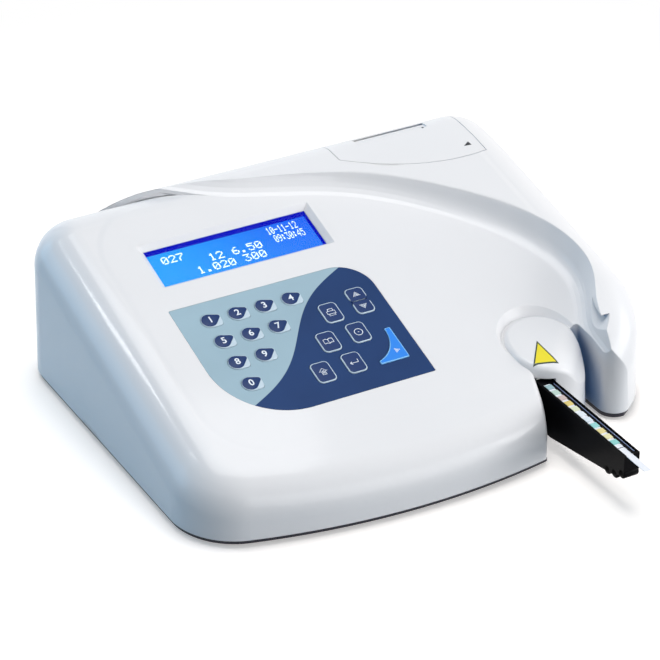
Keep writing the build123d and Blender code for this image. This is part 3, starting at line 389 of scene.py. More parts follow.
@dataclass(frozen=True)
class ShellFinish(Surface):
    """The white moulded plastic, with its crest and panel border softened and painted blue-grey shade in
    its recesses.
    """

    name: str
    colour: Colour = tone(233, 232, 233)
    # The colour of the painted blue-grey shade laid in recesses that ambient occlusion finds, then its
    # reach, where it starts across and its blend.
    hollow: Colour = tone(118, 150, 188)
    hollow_reach: float = 0.045
    hollow_from: Point = (0.085, 0.12)
    hollow_span: Point = (0.08, 0.55)
    roughness: float = 0.3
    edge: float = 0.0008
    crest: float = 0.006
    crest_centre: Place = (-0.0326, -0.0308, 0.0)
    crest_radius: float = 0.186
    crest_half: float = 0.012
    crest_full_share: float = 0.4
    crest_back: Point = (0.125, 0.137)
    crest_front: Point = (-0.015, 0.015)
    border_centre: Place = (0.0, 0.0455, 0.0)
    border_half: Place = (0.150, 0.114, 0.0)
    border_round: float = 0.045
    border_fall: float = 0.0004
    border_soft: float = 0.003
    grit: float = 2600.0
    grit_depth: float = 0.000004
    haze: float = 14.0
    haze_share: float = 0.985
    wear: float = 60.0
    wear_reach: float = 0.08
    detail: float = 3.0
    samples: int = 8
    coat: float = 0.32
    coat_roughness: float = 0.08
    gloss: float = 0.18

    def border(self, wiring: Wiring, flat: Socket) -> Socket:
        """Draws the soft fold round the flat panel.

        Args:
            wiring: The material's wiring.
            flat: The place, laid flat.

        Returns:
            The fold's height, 1 inside it and 0 outside.
        """
        away = wiring.vector("SUBTRACT", flat, self.border_centre).outputs[0]
        size = wiring.vector("ABSOLUTE", away).outputs[0]
        inner = tuple(side - self.border_round for side in self.border_half[:2]) + (0.0,)
        past = wiring.vector("SUBTRACT", size, inner).outputs[0]
        outside = wiring.vector("MAXIMUM", past, (0.0, 0.0, 0.0)).outputs[0]
        reach = wiring.vector("LENGTH", outside).outputs["Value"]
        distance = wiring.math("SUBTRACT", reach, self.border_round)
        return wiring.inverse(wiring.step(distance, -self.border_soft, self.border_soft))

    def softened(self, wiring: Wiring, flat: Socket) -> Socket:
        """Rounds the edges in the shading, most along the step's crest.

        Args:
            wiring: The material's wiring.
            flat: The place, laid flat.

        Returns:
            The rounded normal's socket.
        """
        reach = wiring.vector("DISTANCE", flat, self.crest_centre).outputs["Value"]
        off = wiring.math("ABSOLUTE", wiring.math("SUBTRACT", reach, self.crest_radius))
        near = wiring.inverse(wiring.step(off, self.crest_half * self.crest_full_share, self.crest_half))
        before = wiring.inverse(wiring.step(wiring.along(BACK), *self.crest_back))
        past = wiring.step(wiring.along(BACK), *self.crest_front)
        share = wiring.math("MULTIPLY", wiring.math("MULTIPLY", near, before), past)
        radius = wiring.spread(share, self.crest, self.edge)
        return wiring.add("ShaderNodeBevel", {"Radius": radius}, samples=self.samples).outputs[0]

    def fill(self, wiring: Wiring) -> None:
        """Draws the glossy white plastic, with painted blue-grey shade in recesses right of x = 85 mm.

        Args:
            wiring: The material's wiring.
        """
        flat = wiring.vector("MULTIPLY", wiring.place(), LEVEL).outputs[0]
        normal = wiring.bump(self.border(wiring, flat), self.border_fall, self.softened(wiring, flat))
        normal = wiring.bump(wiring.noise(self.grit), self.grit_depth, normal)
        haze = wiring.noise(self.haze, self.detail)
        colour = wiring.cloudy(haze, shade(self.colour, self.haze_share), self.colour)
        # Painted shade: where ambient occlusion finds a recess, right of x = 85 mm, the colour turns
        # blue-grey.
        open_share = wiring.add("ShaderNodeAmbientOcclusion", {"Distance": self.hollow_reach},
                                samples=self.samples).outputs["AO"]
        left = wiring.inverse(wiring.step(wiring.along(ACROSS), *self.hollow_from))
        clear = wiring.math("MAXIMUM", wiring.step(open_share, *self.hollow_span), left)
        colour = wiring.mix(clear, self.hollow, colour)
        rough = wiring.spread(wiring.noise(self.wear, self.detail), self.wear_reach,
                              self.roughness - self.wear_reach / 2)
        wiring.close({"Base Color": colour, "Roughness": rough, "Normal": normal, "Coat Weight": self.coat,
                      "Coat Roughness": self.coat_roughness, "Specular IOR Level": self.gloss})


@dataclass(frozen=True)
class Slope:
    """The sloping panel's frame in millimetres: u across, v up the slope, w proud of it."""

    foot: float = 70.57
    angle: float = math.radians(17.0)

    def matrix(self) -> Matrix:
        """Returns the matrix from the panel's millimetres to the frame's metres."""
        lift = Matrix.Translation((0.0, 0.0, self.foot * MM))
        return lift @ Matrix.Rotation(self.angle, 4, "X") @ TO_METRES

    def across(self, wiring: Wiring) -> Socket:
        """Returns u in metres, for a material."""
        return wiring.along(ACROSS)

    def up(self, wiring: Wiring) -> Socket:
        """Returns v in metres, for a material."""
        direction = (0.0, math.cos(self.angle), math.sin(self.angle))
        return wiring.along(direction, self.foot * MM * math.sin(self.angle))


SLOPE = Slope()


@dataclass(frozen=True)
class OverlayFinish(Surface):
    """The printed membrane: a pale zone and a navy zone that meet on an S curve."""

    name: str = "overlay_print"
    pale: Colour = tone(160, 186, 199)
    navy: Colour = tone(27, 58, 106)
    start: Point = (-112.8, -31.7)
    run: Point = (0.765, 0.6438)
    length: float = 148.5
    swing: float = 6.3
    edge_soft: float = 0.12
    cloud: float = 16.0
    detail: float = 3.0
    pale_shares: Point = (0.95, 1.04)
    navy_shares: Point = (0.9, 1.1)
    film: float = 3600.0
    film_depth: float = 0.000008
    roughness: float = 0.34
    uneven: float = 0.16
    gloss: float = 0.12

    def zone(self, wiring: Wiring) -> Socket:
        """Draws the pale zone's mask.

        Args:
            wiring: The material's wiring.

        Returns:
            A socket that is 1 in the pale zone and 0 in the navy one.
        """
        u = wiring.math("SUBTRACT", SLOPE.across(wiring), self.start[0] * MM)
        v = wiring.math("SUBTRACT", SLOPE.up(wiring), self.start[1] * MM)
        along = wiring.math("MULTIPLY_ADD", u, self.run[0], wiring.math("MULTIPLY", v, self.run[1]))
        off = wiring.math("MULTIPLY_ADD", u, -self.run[1], wiring.math("MULTIPLY", v, self.run[0]))
        turn = wiring.math("MULTIPLY", along, 2 * math.pi / (self.length * MM))
        wave = wiring.math("MULTIPLY", wiring.math("SINE", turn), self.swing * MM)
        return wiring.step(wiring.math("ADD", off, wave), -self.edge_soft * MM, self.edge_soft * MM)

    def fill(self, wiring: Wiring) -> None:
        """Draws the matt printed film.

        Args:
            wiring: The material's wiring.
        """
        cloud = wiring.noise(self.cloud, self.detail)
        pale = wiring.cloudy(cloud, *[shade(self.pale, share) for share in self.pale_shares])
        navy = wiring.cloudy(cloud, *[shade(self.navy, share) for share in self.navy_shares])
        film = wiring.noise(self.film, self.detail)
        rough = wiring.spread(film, self.uneven, self.roughness)
        wiring.close({"Base Color": wiring.mix(self.zone(wiring), navy, pale), "Roughness": rough,
                      "Specular IOR Level": self.gloss, "Normal": wiring.bump(film, self.film_depth)})


@dataclass(frozen=True)
class DisplayFinish(Surface):
    """The lit display glass: bright blue, deeper to the right, with a dark blue band on its top and right
    edges, partly its own border and partly painted shadow of the frame.
    """

    name: str = "display_blue"
    left: Colour = tone(30, 158, 250)
    right: Colour = tone(14, 98, 240)
    border: Colour = tone(2, 14, 190)
    left_edge: float = -118.0
    right_edge: float = 6.0
    top: float = 124.0
    pitch: float = 0.53
    glow: float = 0.92
    fade_end: float = 9.6
    low_tint: Colour = tone(70, 170, 255)
    low_span: Point = (92.0, 125.0)
    low_share: float = 0.22
    border_soft: float = 0.2
    grid_dip: float = 0.03
    marks: float = 500.0
    roughness: float = 0.2
    uneven: float = 0.1
    dim_share: float = 0.12
    gloss: float = 0.05

    def fill(self, wiring: Wiring) -> None:
        """Draws the glowing display with its faint dot grid and its dark edge band, partly border and
        partly painted shadow of the frame.

        Args:
            wiring: The material's wiring.
        """
        u, v = SLOPE.across(wiring), SLOPE.up(wiring)
        colour = wiring.mix(wiring.step(u, self.left_edge * MM, self.fade_end * MM), self.left, self.right)
        low = wiring.inverse(wiring.step(v, *[height * MM for height in self.low_span]))
        colour = wiring.mix(wiring.math("MULTIPLY", low, self.low_share), colour, self.low_tint)
        # Dark blue band on the top and right edges: partly the glass's own border, partly painted shadow
        # of the frame.
        border_and_shadow = [wiring.step(way, (edge - self.border_soft) * MM, (edge + self.border_soft) * MM)
                 for way, edge in ((v, self.top), (u, self.right_edge))]
        turn = 2 * math.pi / (self.pitch * MM)
        rows = [wiring.math("SINE", wiring.math("MULTIPLY", way, turn)) for way in (u, v)]
        grid = wiring.spread(wiring.math("MAXIMUM", *rows), self.grid_dip, 1.0 - self.grid_dip)
        shown = wiring.mix(wiring.math("MAXIMUM", *border_and_shadow), wiring.scaled(colour, grid), self.border)
        rough = wiring.spread(wiring.noise(self.marks), self.uneven, self.roughness)
        wiring.close({"Base Color": wiring.scaled(shown, self.dim_share), "Roughness": rough,
                      "Emission Color": shown, "Emission Strength": self.glow,
                      "Specular IOR Level": self.gloss})


@dataclass(frozen=True)
class GlowFinish(Surface):
    """Lit dots on the display."""

    name: str = "display_dots"
    colour: Colour = tone(214, 236, 255)
    low_share: float = 0.9
    cloud: float = 300.0
    glow: float = 0.8
    roughness: float = 0.4

    def fill(self, wiring: Wiring) -> None:
        """Draws the pale glowing dots, a little uneven.

        Args:
            wiring: The material's wiring.
        """
        colour = wiring.cloudy(wiring.noise(self.cloud), shade(self.colour, self.low_share), self.colour)
        wiring.close({"Base Color": colour, "Emission Color": colour, "Emission Strength": self.glow,
                      "Roughness": self.roughness})


@dataclass(frozen=True)
class PaneFinish(Surface):
    """Clear moulded pane, lens or glass, with faint wipe marks."""

    name: str
    tint: Colour
    roughness: float = 0.03
    smooth_gain: float = 0.01
    uneven: float = 0.03
    marks: float = 90.0
    detail: float = 4.0
    low_share: float = 0.99
    index: float = 1.15
    gloss: float = 0.04

    def fill(self, wiring: Wiring) -> None:
        """Draws the clear material.

        Args:
            wiring: The material's wiring.
        """
        marks = wiring.noise(self.marks, self.detail)
        rough = wiring.spread(marks, self.uneven, self.roughness - self.smooth_gain)
        tint = wiring.cloudy(marks, shade(self.tint, self.low_share), self.tint)
        wiring.close({"Base Color": tint, "Roughness": rough, "Transmission Weight": 1.0,
                      "IOR": self.index, "Specular IOR Level": self.gloss})


@dataclass(frozen=True)
class BoardFinish(Surface):
    """Green circuit board with lighter tracks and tinned dots."""

    name: str = "board_green"
    mask: Colour = tone(18, 92, 52)
    track: Colour = tone(34, 128, 70)
    tin: Colour = tone(170, 172, 165)
    tracks: float = 90.0
    track_width: float = 0.05
    pads: float = 260.0
    pad_reach: float = 0.16
    relief: float = 0.00003
    roughness: float = 0.25
    tin_dull: float = 0.1

    def fill(self, wiring: Wiring) -> None:
        """Draws the lacquered board.

        Args:
            wiring: The material's wiring.
        """
        bricks = {"Vector": wiring.place(), "Scale": self.tracks, "Mortar Size": self.track_width}
        lines = wiring.add("ShaderNodeTexBrick", bricks).outputs["Fac"]
        cells = wiring.add("ShaderNodeTexVoronoi", {"Vector": wiring.place(), "Scale": self.pads})
        dots = wiring.math("LESS_THAN", cells.outputs["Distance"], self.pad_reach)
        colour = wiring.mix(dots, wiring.mix(lines, self.mask, self.track), self.tin)
        relief = wiring.math("MAXIMUM", lines, dots)
        rough = wiring.spread(dots, self.tin_dull, self.roughness)
        wiring.close({"Base Color": colour, "Roughness": rough, "Metallic": dots,
                      "Normal": wiring.bump(relief, self.relief)})


@dataclass(frozen=True)
class PadFinish(Surface):
    """The strip's absorbent pads, one tint after another."""

    name: str = "pad_tints"
    first: float = -0.0776
    pitch: float = 0.0078
    tints: tuple[Colour, ...] = (
        tone(150, 184, 190), tone(190, 214, 200), tone(206, 184, 178), tone(226, 200, 106),
        tone(222, 226, 190), tone(232, 238, 244), tone(226, 236, 244), tone(140, 210, 208),
        tone(230, 212, 138), tone(236, 226, 170), tone(132, 206, 200))
    fibre: Colour = tone(250, 250, 246)
    fibre_share: float = 0.16
    felt: float = 5200.0
    detail: float = 4.0
    relief: float = 0.00006
    roughness: float = 0.9

    def fill(self, wiring: Wiring) -> None:
        """Draws the felted pads.

        Args:
            wiring: The material's wiring.
        """
        back = wiring.math("SUBTRACT", self.first, wiring.along(BACK))
        share = wiring.math("DIVIDE", back, self.pitch * len(self.tints))
        stops = [(number / len(self.tints), tint) for number, tint in enumerate(self.tints)]
        felt = wiring.noise(self.felt, self.detail)
        colour = wiring.ramp(share, stops, constant=True)
        worn = wiring.mix(wiring.math("MULTIPLY", felt, self.fibre_share), colour, self.fibre)
        wiring.close({"Base Color": worn, "Roughness": self.roughness,
                      "Normal": wiring.bump(felt, self.relief)})


@dataclass(frozen=True)
class StripFinish(Surface):
    """White plastic strip with one dark tick before its handle."""

    name: str = "strip_white"
    tick: float = -0.1668
    tick_half: float = 0.0004
    ink: Colour = tone(60, 60, 70)
    low: Colour = tone(236, 239, 246)
    high: Colour = tone(246, 247, 252)
    brushed: float = 900.0
    detail: float = 3.0
    relief: float = 0.000005
    roughness: float = 0.3
    uneven: float = 0.1

    def fill(self, wiring: Wiring) -> None:
        """Draws the strip's plastic and its tick.

        Args:
            wiring: The material's wiring.
        """
        off = wiring.math("ABSOLUTE", wiring.along(BACK, self.tick))
        mark = wiring.math("LESS_THAN", off, self.tick_half)
        brushed = wiring.noise(self.brushed, self.detail)
        colour = wiring.mix(mark, wiring.cloudy(brushed, self.low, self.high), self.ink)
        rough = wiring.spread(brushed, self.uneven, self.roughness)
        wiring.close({"Base Color": colour, "Roughness": rough,
                      "Normal": wiring.bump(brushed, self.relief)})


@dataclass(frozen=True)
class FloorFinish(Surface):
    """The pale floor, which keeps the object's shadow and fades to white far away."""

    name: str = "floor_pale"
    bounced: Colour = (0.27, 0.33, 0.38)
    low: Colour = (0.97, 0.91, 0.87)
    high: Colour = (0.98, 0.93, 0.89)
    cloud: float = 3.0
    cloud_span: Point = (0.4, 0.6)
    lift: float = 0.3
    fade: Point = (0.32, 0.75)

    def fill(self, wiring: Wiring) -> None:
        """Draws the floor as the camera sees it and as the light meets it.

        Args:
            wiring: The material's wiring.
        """
        tint = wiring.ramp(wiring.noise(self.cloud), list(zip(self.cloud_span, (self.low, self.high))))
        near = wiring.add("ShaderNodeBsdfDiffuse", {"Color": tint}).outputs[0]
        lifted = wiring.add("ShaderNodeAddShader", {0: near, 1: wiring.glow(self.lift)}).outputs[0]
        away = wiring.vector("LENGTH", wiring.place()).outputs["Value"]
        faded = wiring.blend(wiring.step(away, *self.fade), lifted, wiring.glow(1.0))
        bounced = wiring.add("ShaderNodeBsdfDiffuse", {"Color": (*self.bounced, 1.0)}).outputs[0]
        mixed = wiring.blend(wiring.seen(), bounced, faded)
        wiring.add("ShaderNodeOutputMaterial", {"Surface": mixed})


# The relief of inks and of printed or lacquered faces, in metres.
PRINT_RELIEF = 0.000006

FINISHES = {finish.name: finish for finish in (
    ShellFinish("shell_white"),
    ShellFinish("hatch_white", crest=0.0, border_fall=0.0),
    Finish("base_dark", tone(20, 18, 34), 0.42, coat=0.1, depth=0.00003),
    Finish("foot_rubber", tone(34, 34, 36), 0.85, scale=2200, depth=0.00006),
    Finish("screw_steel", tone(176, 180, 186), 0.3, 1.0, scale=3000),
    PaneFinish("clear_pane", (0.96, 0.985, 1.0)),
    Finish("frame_steel", tone(178, 182, 188), 0.34, 1.0, scale=1800, grain=Grain.ACROSS),
    DisplayFinish(),
    GlowFinish(),
    Finish("light_white", tone(226, 229, 232), 0.5),
    BoardFinish(),
    Finish("backing_grey", tone(120, 126, 134), 0.55, scale=2600),
    OverlayFinish(),
    Finish("carriage_black", tone(4, 4, 7), 0.3, gloss=0.04, depth=PRINT_RELIEF),
    StripFinish(),
    PadFinish(),
    Finish("tile_white", tone(240, 240, 236), 0.3, coat=0.4),
    Finish("gear_white", tone(226, 222, 206), 0.42, scale=1700, depth=0.00002),
    Finish("motor_steel", tone(160, 163, 168), 0.36, 1.0, grain=Grain.UPRIGHT),
    Finish("inner_grey", tone(92, 95, 100), 0.5, depth=0.00003),
    PaneFinish("lens_glass", (0.86, 0.93, 0.97), 0.02),
    Finish("inner_dark", tone(44, 44, 48), 0.5, depth=0.00003),
    Finish("roller_rubber", tone(38, 38, 40), 0.75, scale=2600, depth=0.00004, grain=Grain.ACROSS),
    Finish("shaft_steel", tone(196, 198, 202), 0.2, 1.0, scale=2600, grain=Grain.ACROSS),
    Finish("gear_brass", tone(206, 166, 92), 0.3, 1.0, scale=2400),
    Finish("chip_black", tone(30, 31, 34), 0.55, scale=3600, depth=0.00002),
    Finish("inlet_black", tone(24, 24, 26), 0.45, scale=1800, depth=0.00003),
    Finish("rocker_black", tone(18, 18, 20), 0.3, coat=0.25),
    Finish("port_nickel", tone(186, 184, 176), 0.28, 1.0, scale=2600, grain=Grain.LONG),
    Finish("pin_gold", tone(222, 184, 98), 0.24, 1.0, scale=3000),
    Finish("key_navy", tone(28, 54, 104), 0.34, gloss=0.15, scale=3600, depth=PRINT_RELIEF),
    Finish("key_blue", tone(52, 140, 240), 0.34, gloss=0.15, scale=3600, depth=PRINT_RELIEF),
    Finish("key_rim", tone(196, 214, 226), 0.36, scale=3600, depth=PRINT_RELIEF),
    Finish("key_rim_blue", tone(128, 196, 250), 0.36, scale=3600, depth=PRINT_RELIEF),
    Finish("legend_ink", tone(238, 244, 250), 0.5, scale=4200, depth=PRINT_RELIEF),
    Finish("mark_ink", tone(40, 42, 48), 0.55, scale=4200, depth=PRINT_RELIEF),
    Finish("sticker_yellow", tone(240, 222, 20), 0.35, coat=0.3, scale=3000, depth=PRINT_RELIEF),
    Finish("sticker_edge", tone(30, 52, 26), 0.35, coat=0.3, scale=3000, depth=PRINT_RELIEF),
    # Pale blue-grey so that the bead on the carriage's ledge reads as a painted highlight.
    Finish("rail_glint", tone(120, 136, 176), 0.2, coat=0.5, scale=3000, depth=0.000004),
)}


class Shop:
    """Hands out one material for each finish, made when it is first asked for."""

    def __init__(self) -> None:
        """Starts with no material and the record's slot of every CAD node."""
        self.made: dict[str, bpy.types.Material] = {}
        self.slots = {part["node"]: part["material_slot"] for part in frame["record"]["subparts"]}
        self.count = 0

    def material(self, finish: str) -> bpy.types.Material:
        """Finds or makes a material.

        Args:
            finish: The finish's name.

        Returns:
            The material.
        """
        if finish not in self.made:
            self.made[finish] = FINISHES[finish].material()
        return self.made[finish]

    def dress(self, nodes: Iterable[str], finish: str | None = None) -> None:
        """Gives CAD nodes a finish.

        Args:
            nodes: The nodes' names.
            finish: The finish, or None for the one that the record's slot names.
        """
        for name in nodes:
            for place in frame["nodes"][name].material_slots:
                place.material = self.material(finish or self.slots[name])

    def piece(self, mesh: bpy.types.Mesh, finish: str, slot: str, body: str) -> bpy.types.Object:
        """Adds a finished piece, named as its mesh.

        Args:
            mesh: Its mesh, in place in the frame, in metres.
            finish: Its finish.
            slot: The record's slot that its finish belongs to; not used.
            body: The CAD body that it rides on.

        Returns:
            The piece's object.
        """
        if not mesh.materials:
            mesh.materials.append(self.material(finish))
        piece = placed(mesh.name, mesh)
        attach(piece, body)
        self.count += 1
        log.info("%s rides on %s", piece.name, body)
        return piece


def hull_outline(circles: Sequence[tuple[float, float, float]], grow: float = 0.0,
                 steps: int = 96) -> list[Point]:
    """Draws the outline of a band stretched round circles.

    Args:
        circles: Centre x, centre y and radius of each circle.
        grow: What is added to each radius.
        steps: The outline's points.

    Returns:
        The outline's points, anticlockwise.
    """
    outline = []
    for number in range(steps):
        turn = 2 * math.pi * number / steps
        way = (math.cos(turn), math.sin(turn))
        x, y, radius = max(circles, key=lambda c: c[0] * way[0] + c[1] * way[1] + c[2])
        outline.append((x + way[0] * (radius + grow), y + way[1] * (radius + grow)))
    return outline


def box_outline(x: float, y: float, width: float, height: float, rounds: Sequence[float]) -> list[Point]:
    """Draws a rectangle with rounded corners.

    Args:
        x: Its middle across.
        y: Its middle along.
        width: Its width.
        height: Its height.
        rounds: Radius of the upper corners and of the lower corners.

    Returns:
        The outline's points.
    """
    circles = []
    for side in (-1, 1):
        for end, radius in ((1, rounds[0]), (-1, rounds[1])):
            circles.append((x + side * (width / 2 - radius), y + end * (height / 2 - radius), radius))
    return hull_outline(circles)


def inset_outline(outline: Sequence[Point], inset: float, least: float = 0.4) -> list[Point]:
    """Moves an anticlockwise outline inwards by a small amount.

    Args:
        outline: The outline's points.
        inset: How far it moves.
        least: The least cosine that counts at a sharp corner.

    Returns:
        The new outline.
    """
    moved = []
    for before, here, after in zip((outline[-1], *outline), outline, (*outline[1:], outline[0])):
        first = Vector((here[1] - before[1], before[0] - here[0])).normalized()
        second = Vector((after[1] - here[1], here[0] - after[0])).normalized()
        both = (first + second).normalized()
        reach = inset / max(least, both.dot(first))
        moved.append((here[0] - both[0] * reach, here[1] - both[1] * reach))
    return moved


def stack(rings: Sequence[Sequence[Place]]) -> bmesh.types.BMesh:
    """Joins rings of the same count into one closed form.

    Args:
        rings: Each ring's points, from the bottom to the top.

    Returns:
        The closed form.
    """
    form = bmesh.new()
    rows = [[form.verts.new(point) for point in ring] for ring in rings]
    for low, high in zip(rows, rows[1:]):
        for number in range(len(low)):
            after = (number + 1) % len(low)
            form.faces.new((low[number], low[after], high[after], high[number]))
    form.faces.new(list(reversed(rows[0])))
    form.faces.new(rows[-1])
    bmesh.ops.recalc_face_normals(form, faces=form.faces)
    return form


def crowned(outline: Sequence[Point], low: float, high: float, crown: float,
            rims: Sequence[float] = (1.0, 0.985, 0.95, 0.85, 0.65, 0.35)) -> bmesh.types.BMesh:
    """Makes a low pad with a softly domed top.

    Args:
        outline: Its outline.
        low: The height of its foot.
        high: The height where its dome starts.
        crown: How much the dome rises.
        rims: The dome's rings as shares of the outline.

    Returns:
        The pad.
    """
    x = sum(point[0] for point in outline) / len(outline)
    y = sum(point[1] for point in outline) / len(outline)
    rings = [[(*point, low) for point in outline]]
    for share in rims:
        lift = high + crown * (1 - share ** 3)
        rings.append([(x + (px - x) * share, y + (py - y) * share, lift) for px, py in outline])
    return stack(rings)


def to_mesh(name: str, form: bmesh.types.BMesh, matrix: Matrix, smooth: bool = True) -> bpy.types.Mesh:
    """Turns a form into a mesh in the frame.

    Args:
        name: The mesh's name.
        form: The form, which is freed.
        matrix: Takes the form's points to the frame's metres.
        smooth: True for smooth shading.

    Returns:
        The mesh.
    """
    bmesh.ops.transform(form, matrix=matrix, verts=form.verts)
    for face in form.faces:
        face.smooth = smooth
    mesh = bpy.data.meshes.new(name)
    form.to_mesh(mesh)
    form.free()
    return mesh


def baked(data: bpy.types.Curve, matrix: Matrix, merge: float) -> bpy.types.Mesh:
    """Turns a curve or text into a mesh in the frame.

    Args:
        data: The curve or text, in its own millimetres, which is removed.
        matrix: Takes its points to the frame's metres.
        merge: Points nearer than this become one.

    Returns:
        The mesh.
    """
    name = data.name
    holder = placed(name, data)
    source = evaluated(holder)
    bpy.data.objects.remove(holder)
    bpy.data.curves.remove(data)
    form = bmesh.new()
    form.from_mesh(source)
    bpy.data.meshes.remove(source)
    bmesh.ops.remove_doubles(form, verts=form.verts, dist=merge)
    bmesh.ops.recalc_face_normals(form, faces=form.faces)
    return to_mesh(name, form, matrix, smooth=False)


def lettered(name: str, words: str, size: float, thick: float, matrix: Matrix,
             bold: float = 0.018, steps: int = 4, merge: float = 0.0005) -> bpy.types.Mesh:
    """Sets bold digits as a mesh.

    Args:
        name: The mesh's name.
        words: The digits.
        size: Their height in the matrix's units.
        thick: Half their thickness.
        matrix: Where their middle goes.
        bold: How far their outline grows, as a share of their height.
        steps: The points on each curved part.
        merge: Points nearer than this become one.

    Returns:
        The mesh.
    """
    data = bpy.data.curves.new(name, "FONT")
    data.body, data.size, data.extrude = words, size, thick
    data.offset, data.resolution_u = size * bold, steps
    data.align_x, data.align_y = "CENTER", "CENTER"
    return baked(data, matrix, merge)


def stroked(name: str, paths: Sequence[Sequence[Point]], width: float, flat: float,
            matrix: Matrix, merge: float = 0.0002) -> bpy.types.Mesh:
    """Draws ink strokes as a mesh.

    Args:
        name: The mesh's name.
        paths: Each stroke's points; one that ends where it starts is closed.
        width: The strokes' width.
        flat: Their thickness as a share of their width.
        matrix: Where they go.
        merge: Points nearer than this become one.

    Returns:
        The mesh.
    """
    data = bpy.data.curves.new(name, "CURVE")
    data.dimensions, data.bevel_depth, data.bevel_resolution = "3D", width / 2, 1
    data.use_fill_caps = True
    for path in paths:
        closed = path[0] == path[-1]
        points = path[:-1] if closed else path
        spline = data.splines.new("POLY")
        spline.points.add(len(points) - 1)
        spline.use_cyclic_u = closed
        for point, (x, y) in zip(spline.points, points):
            point.co = (x, y, 0.0, 1.0)
    return baked(data, matrix @ Matrix.Diagonal((1.0, 1.0, flat, 1.0)), merge)


class Unit(Enum):
    """The small forms that are set on points, as a node and its inputs for a size of 1."""

    TILE = ("GeometryNodeMeshGrid", {"Size X": 1.0, "Size Y": 1.0, "Vertices X": 2, "Vertices Y": 2})
    BLOCK = ("GeometryNodeMeshCube", {"Size": (1.0, 1.0, 1.0)})
    PIN = ("GeometryNodeMeshCylinder", {"Vertices": 12, "Radius": 0.5, "Depth": 1.0})


@dataclass(frozen=True)
class Repeat:
    """A Geometry Nodes tree that sets one small form on every point."""

    name: str
    unit: Unit
    size: Place
    tilt: float = 0.0

    def tree(self, material: bpy.types.Material) -> bpy.types.NodeTree:
        """Builds the tree.

        Args:
            material: What the copies wear.

        Returns:
            The tree, with the sizes as named inputs.
        """
        tree = bpy.data.node_groups.new(self.name, "GeometryNodeTree")
        wiring = Wiring(tree)
        tree.interface.new_socket("Points", in_out="INPUT", socket_type="NodeSocketGeometry")
        for label in REPEAT_INPUTS:
            tree.interface.new_socket(label, in_out="INPUT", socket_type="NodeSocketFloat")
        tree.interface.new_socket("Copies", in_out="OUTPUT", socket_type="NodeSocketGeometry")
        given = wiring.add("NodeGroupInput")
        unit = wiring.add(*self.unit.value)
        scale = wiring.add("ShaderNodeCombineXYZ", {
            "X": given.outputs["Width"], "Y": given.outputs["Depth"], "Z": given.outputs["Height"]})
        turn = wiring.add("ShaderNodeCombineXYZ", {"X": given.outputs["Tilt"]})
        copies = wiring.add("GeometryNodeInstanceOnPoints", {
            "Points": given.outputs["Points"], "Instance": unit.outputs["Mesh"],
            "Rotation": turn.outputs[0], "Scale": scale.outputs[0]})
        solid = wiring.add("GeometryNodeRealizeInstances", {"Geometry": copies.outputs[0]})
        worn = wiring.add("GeometryNodeSetMaterial", {"Geometry": solid.outputs[0], "Material": material})
        wiring.add("NodeGroupOutput", {"Copies": worn.outputs[0]})
        return tree

    def mesh(self, points: Sequence[Place], material: bpy.types.Material) -> bpy.types.Mesh:
        """Sets the form on points.

        Args:
            points: The points in the frame, in metres.
            material: What the copies wear.

        Returns:
            One plain mesh of all copies.
        """
        seeds = bpy.data.meshes.new(f"{self.name}_points")
        seeds.from_pydata([tuple(point) for point in points], [], [])
        holder = placed(f"{self.name}_holder", seeds)
        modifier = holder.modifiers.new(self.name, "NODES")
        modifier.node_group = self.tree(material)
        values = dict(zip(REPEAT_INPUTS, (*self.size, self.tilt)))
        for socket in modifier.node_group.interface.items_tree:
            if socket.name in values:
                modifier[socket.identifier] = values[socket.name]
        mesh = evaluated(holder)
        mesh.name = self.name
        holder.modifiers.remove(modifier)
        bpy.data.objects.remove(holder)
        bpy.data.meshes.remove(seeds)
        return mesh


